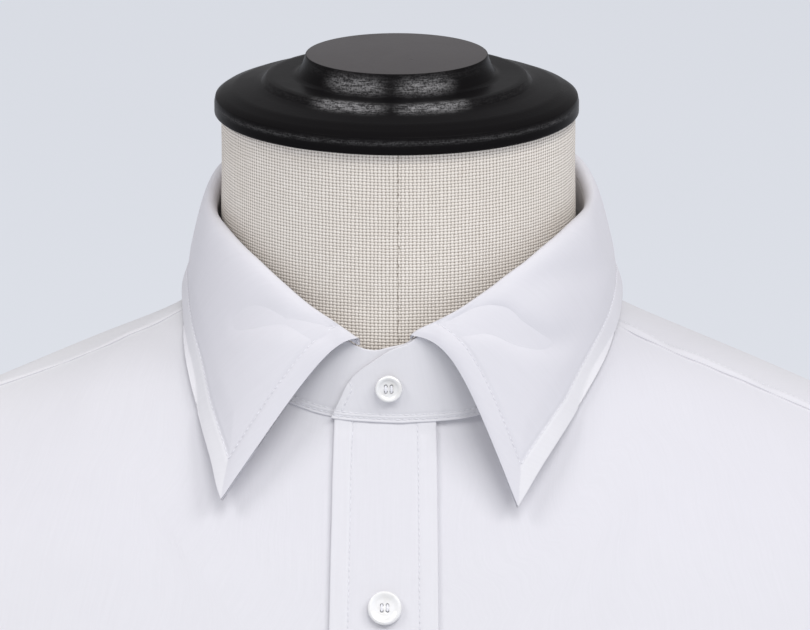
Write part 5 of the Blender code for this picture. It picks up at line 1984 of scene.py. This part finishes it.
@dataclass
class Sleeve:
    """One sleeve with its slit band and its cuff.

    Each row of sections is a height above the floor, then how far out and back the middle is,
    and the half thickness and half depth of the oval in millimetres. Each row of folds is a
    height, an angle round the sleeve, the fold's half height and half width, its tilt in degrees
    for each 100 mm and its rise in millimetres.
    """

    side: Side
    opening: float = -112
    band_length: float = 130 * MM
    slope: float = math.radians(24)
    sections: tuple = (
        (0.628, 241, 3, 32, 83),
        (0.560, 239, 2, 31, 77),
        (0.490, 237, -1, 30, 71),
        (0.430, 236, -5, 29, 67),
        (0.370, 236, -8, 28, 64),
        (0.320, 237, -10, 27, 61),
        (0.295, 238, -11, 25, 57),
        (0.280, 239, -11, 22, 51),
        (0.216, 239, -11, 22, 50),
    )
    folds: tuple = (
        (0.600, 120, 26, 26, 130, -5.0),
        (0.585, 75, 30, 24, 110, 3.5),
        (0.535, 150, 24, 30, -120, 4.0),
        (0.470, 60, 22, 34, 160, 3.5),
        (0.446, 95, 20, 36, 150, -4.0),
        (0.425, 20, 22, 40, -160, 3.0),
        (0.400, -40, 22, 34, -150, -3.5),
        (0.375, -75, 24, 30, -130, 3.0),
        (0.345, 130, 22, 30, 120, 3.0),
        (0.325, -120, 20, 24, 90, -3.0),
        (0.312, 25, 18, 16, 0, -3.5),
        (0.312, -20, 18, 16, 0, 2.5),
    )
    # Finer creases: an angle and a height where each starts and ends, its half width and rise in
    # millimetres
    creases: tuple = (
        ((20, 0.690), (75, 0.610), 7, 1.6),
        ((60, 0.700), (110, 0.640), 6, -1.5),
        ((-30, 0.690), (-80, 0.600), 8, 1.5),
        ((5, 0.560), (50, 0.500), 7, -1.3),
        ((110, 0.500), (60, 0.452), 6, 1.6),
        ((100, 0.478), (40, 0.430), 5, -1.5),
        ((-60, 0.470), (-120, 0.430), 6, 1.4),
        ((30, 0.400), (-20, 0.372), 6, 1.3),
        ((150, 0.420), (105, 0.380), 6, -1.3),
        ((-100, 0.380), (-60, 0.345), 5, 1.2),
        ((60, 0.345), (85, 0.290), 5, 1.5),
        ((-150, 0.345), (-165, 0.288), 5, 1.3),
        ((0, 0.335), (-4, 0.284), 4, 1.4),
    )

    def build(self) -> None:
        """Builds the sleeve, its slit band and its cuff."""
        self.build_sleeve()
        self.build_band()
        self.build_cuff()

    def oval(self, angles: Array, z: Array) -> Array:
        """The sleeve's outer face at a height, at angles from its outermost line."""
        columns = np.array(self.sections[::-1]).T
        out, back, half_thickness, half_depth = (smooth(z, columns[0], c) * MM for c in columns[1:])
        angles = np.asarray(angles, float)
        fold = np.zeros(np.broadcast(angles, z).shape)
        for middle, angle, half_height, half_width, tilt, rise in self.folds:
            up = (z - middle) / MM
            away = (angles - angle - tilt * up / 100 + 180) % 360 - 180
            fold = fold + rise * MM * np.exp(-((up / half_height) ** 2) - (away / half_width) ** 2)
        a = np.radians(angles)
        x = self.side.value * (out + (half_thickness + fold) * np.cos(a))
        y = back - (half_depth + fold) * np.sin(a)
        return np.stack([x, y, z + 0 * x], -1)

    def lifted(self, angles: Array, z: Array, out: Array) -> Array:
        """Points a distance out from the sleeve's outer face."""
        angles = np.asarray(angles, float)
        ahead = self.oval(angles + 1, z) - self.oval(angles - 1, z)
        up = self.oval(angles, z + MM) - self.oval(angles, z - MM)
        facing = unit(np.cross(up, ahead)) * self.side.value
        return self.oval(angles, z) + facing * np.asarray(out)[..., None]

    def ring_angles(self, finer: int) -> Array:
        """The angles of the columns, which meet those of the yoke and both panels."""
        yoke_end = CUT.yoke_front_end(self.side)
        front = np.linspace(yoke_end, 180, FRONT_STEPS * finer + 1)
        back = np.linspace(-180, CUT.yoke_back_end, BACK_STEPS * finer + 1)
        top = np.linspace(CUT.yoke_back_end, yoke_end, TOP_STEPS * finer + 1)
        return np.concatenate([front, back[1:], top[1:-1]])

    def crease_height(self, angles: Array, z: Array) -> Array:
        """How far the finer creases stand out."""
        total = np.zeros(np.broadcast(angles, z).shape)
        for (angle_1, z_1), (angle_2, z_2), half_width, rise in self.creases:
            way = ((angle_2 - angle_1) * 0.9, (z_2 - z_1) / MM)
            across = ((angles - angle_1 + 180) % 360 - 180) * 0.9
            up = (z - z_1) / MM
            share = np.clip((across * way[0] + up * way[1]) / (way[0] ** 2 + way[1] ** 2), 0, 1)
            gap = np.hypot(across - share * way[0], up - share * way[1])
            fade = np.sin(math.pi * np.clip(share, 0.06, 0.94)) ** 0.7
            total = total + rise * MM * fade * bell(gap, half_width)
        return total

    def build_sleeve(self) -> None:
        """The sleeve: it leaves the armhole level and turns down to hang straight."""
        angles = self.ring_angles(7)
        a = np.radians(angles)
        slope = self.slope * ((1 + np.cos(a)) / 2) ** 2
        leave = np.stack([self.side.value * np.cos(slope), 0 * slope, -np.sin(slope)], -1)
        seam = SHIRT.settle(CUT.armhole(self.side, angles))
        start = seam + SHIRT.facing(seam) * (CUT.cloth + SHIRT.fold(seam))[:, None]
        start = start + leave * CUT.gap
        level = self.sections[0][0]
        end = self.oval(angles, level)
        chord = np.linalg.norm(end - start, axis=-1)[:, None]
        leave = leave * chord * (0.85 + 0.35 * np.cos(a))[:, None]
        arrive = np.array([0, 0, -1.2]) * chord
        rings = []
        for t in np.linspace(0, 1, 40)[:-1]:
            rings.append((1 + 2 * t) * (1 - t) ** 2 * start + t * (1 - t) ** 2 * leave
                         + t * t * (3 - 2 * t) * end - t * t * (1 - t) * arrive)
        levels = np.linspace(level, LEVELS.sleeve_end + CUT.gap, 84)
        rings += [self.oval(angles, z) for z in levels]
        grid = np.stack(rings)
        left = self.side is Side.LEFT
        facing = grid_normals(grid, True, left)
        ring = np.arange(len(grid))
        fade = ease_in(np.minimum(ring / 12, (len(grid) - 1 - ring) / 8))
        lift = self.crease_height(angles[None], grid[..., 2]) * fade[:, None]
        outer = grid + facing * lift[..., None]
        inner = outer - facing * CUT.cloth
        wall = Wall(outer, inner, closed=True, flip=left, layers=np.full(outer.shape[:-1], 0.77))
        finish_cloth(f"sleeve_{self.side.word}", wall)

    def build_band(self) -> None:
        """The narrow band over the slit above the cuff."""
        angles = np.linspace(self.opening - 15, self.opening + 15, 30)
        top = LEVELS.sleeve_end + self.band_length
        shares = graded(self.band_length, 2.5 * MM, 0.5 * MM, 4 * MM, 4 * MM)
        levels = top + (LEVELS.sleeve_end + CUT.gap + MM - top) * shares
        lift = CUT.cloth + 2 * CUT.gap
        grid = np.stack([self.lifted(angles, z, lift + self.crease_height(angles, z))
                         for z in levels])
        left = self.side is Side.LEFT
        facing = grid_normals(grid, False, left)
        seams = [Seam(border, 2.0, 0.12, 0.14)
                 for border in (Border.TOP, Border.FIRST, Border.LAST)]
        relief, layers, far_from = add_seams(grid, seams)
        wall = Wall(grid + facing * relief[..., None], grid - facing * CUT.cloth, flip=left,
                    layers=0.75 + 0.06 * layers, bulge=0.4)
        paths = [read_row(wall, far_from[seam], 2.0 * MM, seam.border) for seam in seams]
        name = self.side.word
        finish_cloth(f"sleeve_band_{name}", wall, paths)

    def build_cuff(self) -> None:
        """The cuff, whose button end laps outside."""
        lap = 30
        step = CUT.cuff_cloth + CUT.gap + 0.1 * MM
        angles = np.linspace(self.opening + lap / 2, self.opening - 360 - lap / 2, 150)
        lifted = ease_in((angles[-1] + lap + 46 - angles) / 40) * step
        low = LEVELS.sleeve_end - LEVELS.cuff_height
        ring = self.lifted(angles, low, lifted + CUT.cuff_cloth - CUT.cloth)
        shares = graded(LEVELS.cuff_height, 4 * MM, 0.7 * MM, 8 * MM, 8 * MM)
        grid = np.stack([np.concatenate([ring[:, :2], np.full((len(ring), 1), z)], 1)
                         for z in LEVELS.sleeve_end - LEVELS.cuff_height * shares])
        right = self.side is Side.RIGHT
        facing = grid_normals(grid, False, right)
        seams = [Seam(border, 6.0, 0.18, 0.20, 0.06, 9.0) for border in Border]
        relief, layers, far_from = add_seams(grid, seams, strongest=True)
        nearest = np.minimum.reduce(list(far_from.values()))
        wall = Wall(grid + facing * relief[..., None], grid - facing * CUT.cuff_cloth, flip=right,
                    layers=0.75 + 0.06 * layers, bulge=0.5)
        paths = []
        for seam in seams:
            rows, columns = contour(far_from[seam], 6.0 * MM, seam.border)
            points, up = wall.read(rows, columns)
            at = nearest[np.clip(rows.round().astype(int), 0, nearest.shape[0] - 1),
                         np.clip(columns.round().astype(int), 0, nearest.shape[1] - 1)]
            keep = at > 5.2 * MM
            paths.append((points[keep], up[keep]))
        finish_cloth(f"cuff_{self.side.word}", wall, paths)


# Buttons


@dataclass
class Buttons:
    """The buttons: one is modelled for each size and copied to the place of each solid."""

    front_count: int = 7
    thickness: float = 2.4 * MM
    hole_radius: float = 0.8 * MM
    hole_offset: float = 1.35 * MM

    def names(self) -> list:
        """The button nodes."""
        made = [f"button_{i + 1}" for i in range(self.front_count)] + ["collar_button"]
        for side in Side:
            made += [f"cuff_button_{side.word}", f"sleeve_band_button_{side.word}"]
        return made

    def build(self) -> None:
        """Models each button size once and sets the copies on their solids' places."""
        large = self.model("shirt_button_model", 5.7 * MM)
        small = self.model("sleeve_button_model", 4.6 * MM)
        threads = self.thread_model()
        for name in self.names():
            source = large if name.startswith("button_") else small
            seat, turn = self.seat(name)
            mesh = source.data.copy()
            mesh.transform(Matrix.Translation(seat) @ turn)
            declare(link(f"{name}_pearl", mesh), "pearl_button", name)
            mesh = threads.data.copy()
            mesh.transform(Matrix.Translation(seat) @ turn)
            declare(link(f"{name}_thread", mesh), "white_cotton")
        for source in (large, small, threads):
            bpy.data.objects.remove(source)

    def seat(self, name: str) -> tuple:
        """Where a button's back lies and how it is turned, read from its solid."""
        co = np.array([v.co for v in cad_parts[name].data.vertices])
        places = np.unique(np.round(co, 6), axis=0)
        middle = places.mean(0)
        _, _, ways = np.linalg.svd(places - middle)
        axis = Vector(ways[2])
        outward = Vector((middle[0], middle[1], 0))
        if "cuff" in name or "sleeve" in name:
            outward = Vector((0, 1, 0))
        if axis.dot(outward) < 0:
            axis = -axis
        along = np.array([(Vector(p) - Vector(middle)).dot(axis) for p in co])
        seat = Vector(middle) + axis * float(along.min())
        side = Vector((0, 0, 1)).cross(axis).normalized()
        up = axis.cross(side)
        turn = Matrix((side, up, axis)).transposed().to_4x4()
        return seat, turn

    def model(self, name: str, radius: float) -> bpy.types.Object:
        """One button with a raised rim, a dished middle and four holes.

        Args:
            name: The object's name.
            radius: The button's radius.

        Returns:
            The button, with its back on the XY plane.
        """
        t = self.thickness
        outline = [(radius * 0.80, 0), (radius * 0.93, 0.25 * MM), (radius, t * 0.5),
                   (radius * 0.97, t * 0.85), (radius * 0.88, t), (radius * 0.76, t * 0.94),
                   (radius * 0.64, t * 0.74), (radius * 0.45, t * 0.68)]
        button = shape_rings(name, outline, 40)
        for i in range(4):
            angle = math.pi / 4 + i * math.pi / 2
            place = (self.hole_offset * math.cos(angle), self.hole_offset * math.sin(angle), t / 2)
            deselect()
            bpy.ops.mesh.primitive_cylinder_add(vertices=14, radius=self.hole_radius * 0.72,
                                                depth=4 * t, location=place)
            drill = bpy.context.object
            deselect()
            button.select_set(True)
            bpy.context.view_layer.objects.active = button
            cut = button.modifiers.new("hole", "BOOLEAN")
            cut.object = drill
            cut.operation = "DIFFERENCE"
            bpy.ops.object.modifier_apply(modifier=cut.name)
            bpy.data.objects.remove(drill)
        round_edges(button, 0.12 * MM, 2, 40)
        button.data.materials.clear()
        button.data.materials.append(Pearl().material())
        return button

    def thread_model(self) -> bpy.types.Object:
        """Two bars of thread through the holes, modelled as straight rods with rounded ends."""
        rods = []
        for x in (-1, 1):
            deselect()
            bpy.ops.mesh.primitive_cylinder_add(
                vertices=8, radius=0.42 * MM, depth=2 * self.hole_offset * 0.9,
                end_fill_type="NGON",
                location=(x * self.hole_offset * 0.707, 0, self.thickness * 0.72),
                rotation=(math.pi / 2, 0, 0))
            rod = bpy.context.object
            settle_in_place(rod)
            round_edges(rod, 0.2 * MM, 3, 40)
            rods.append(rod)
        deselect()
        for rod in rods:
            rod.select_set(True)
        bpy.context.view_layer.objects.active = rods[0]
        bpy.ops.object.join()
        made = bpy.context.object
        made.name = "button_thread_model"
        made.data.materials.clear()
        made.data.materials.append(Thread().material())
        return made


# The studio


@dataclass
class Studio:
    """The pale floor, the soft light and the camera at the picture's angle."""

    pitch: float = 16.0
    camera_place: tuple = (0.00226, -1.73027, 1.37751)
    distance: float = 1.8
    metres_per_pixel: float = 0.348e-3
    sensor: float = 36.0
    world_colour: tuple = (0.985, 0.985, 1.015)
    world_strength: float = 0.48
    key_strength: float = 1.20
    key_angles: tuple = (58.0, 17.0)
    key_softness: float = 30.0

    def build(self) -> None:
        """Sets the studio up."""
        self.build_floor()
        self.build_world()
        self.build_lights()
        self.build_camera()

    def build_floor(self) -> None:
        """A wide plain floor."""
        deselect()
        bpy.ops.mesh.primitive_plane_add(size=60)
        floor = bpy.context.object
        floor.name = "floor"
        floor.data.materials.append(PaleFloor().material())

    def build_world(self) -> None:
        """An even pale sky."""
        world = bpy.data.worlds.new("studio")
        world.use_nodes = True
        sky = world.node_tree.nodes["Background"]
        sky.inputs["Color"].default_value = (*self.world_colour, 1)
        sky.inputs["Strength"].default_value = self.world_strength
        bpy.context.scene.world = world
        bpy.context.scene.view_settings.view_transform = "Standard"
        bpy.context.scene.view_settings.look = "None"

    def build_lights(self) -> None:
        """A broad key light from above the camera and two soft lights, stronger on the right."""
        key = bpy.data.lights.new("key light", "SUN")
        key.energy = self.key_strength
        key.angle = math.radians(self.key_softness)
        high, turned = (math.radians(a) for a in self.key_angles)
        made = link("key light", key)
        made.rotation_euler = (math.pi / 2 - high, 0, turned)
        self.light("right softbox", (1.56, -1.0, 2.7), (0, 0, 0.86), 0.9, 20)
        self.light("left softbox", (-1.56, -1.0, 2.7), (0, 0, 0.86), 0.9, 16)

    def light(self, name: str, place: tuple, target: tuple, size: float, power: float) -> None:
        """One square light that faces a target."""
        lamp = bpy.data.lights.new(name, "AREA")
        lamp.shape = "SQUARE"
        lamp.size = size
        lamp.energy = power
        made = link(name, lamp)
        made.location = place
        way = Vector(target) - Vector(place)
        made.rotation_euler = way.to_track_quat("-Z", "Y").to_euler()

    def build_camera(self) -> None:
        """The camera, level from side to side and looking down a little."""
        lens = bpy.data.cameras.new("camera")
        lens.sensor_width = self.sensor
        lens.lens = self.sensor * self.distance / (self.metres_per_pixel * PICTURE_WIDTH)
        camera = link("camera", lens)
        camera.location = self.camera_place
        camera.rotation_euler = (math.radians(90 - self.pitch), 0, 0)
        bpy.context.scene.camera = camera


def main() -> None:
    """Builds the form, the shirt and the studio, and reports each piece."""
    logging.basicConfig(level=logging.INFO, format="%(message)s", stream=sys.stdout)
    for part in (DressForm(), ShirtBody(), Collar(), Sleeve(Side.LEFT), Sleeve(Side.RIGHT),
                 Buttons(), Studio()):
        part.build()
        LOG.info("built %s", type(part).__name__)


if __name__ == "__main__":
    main()
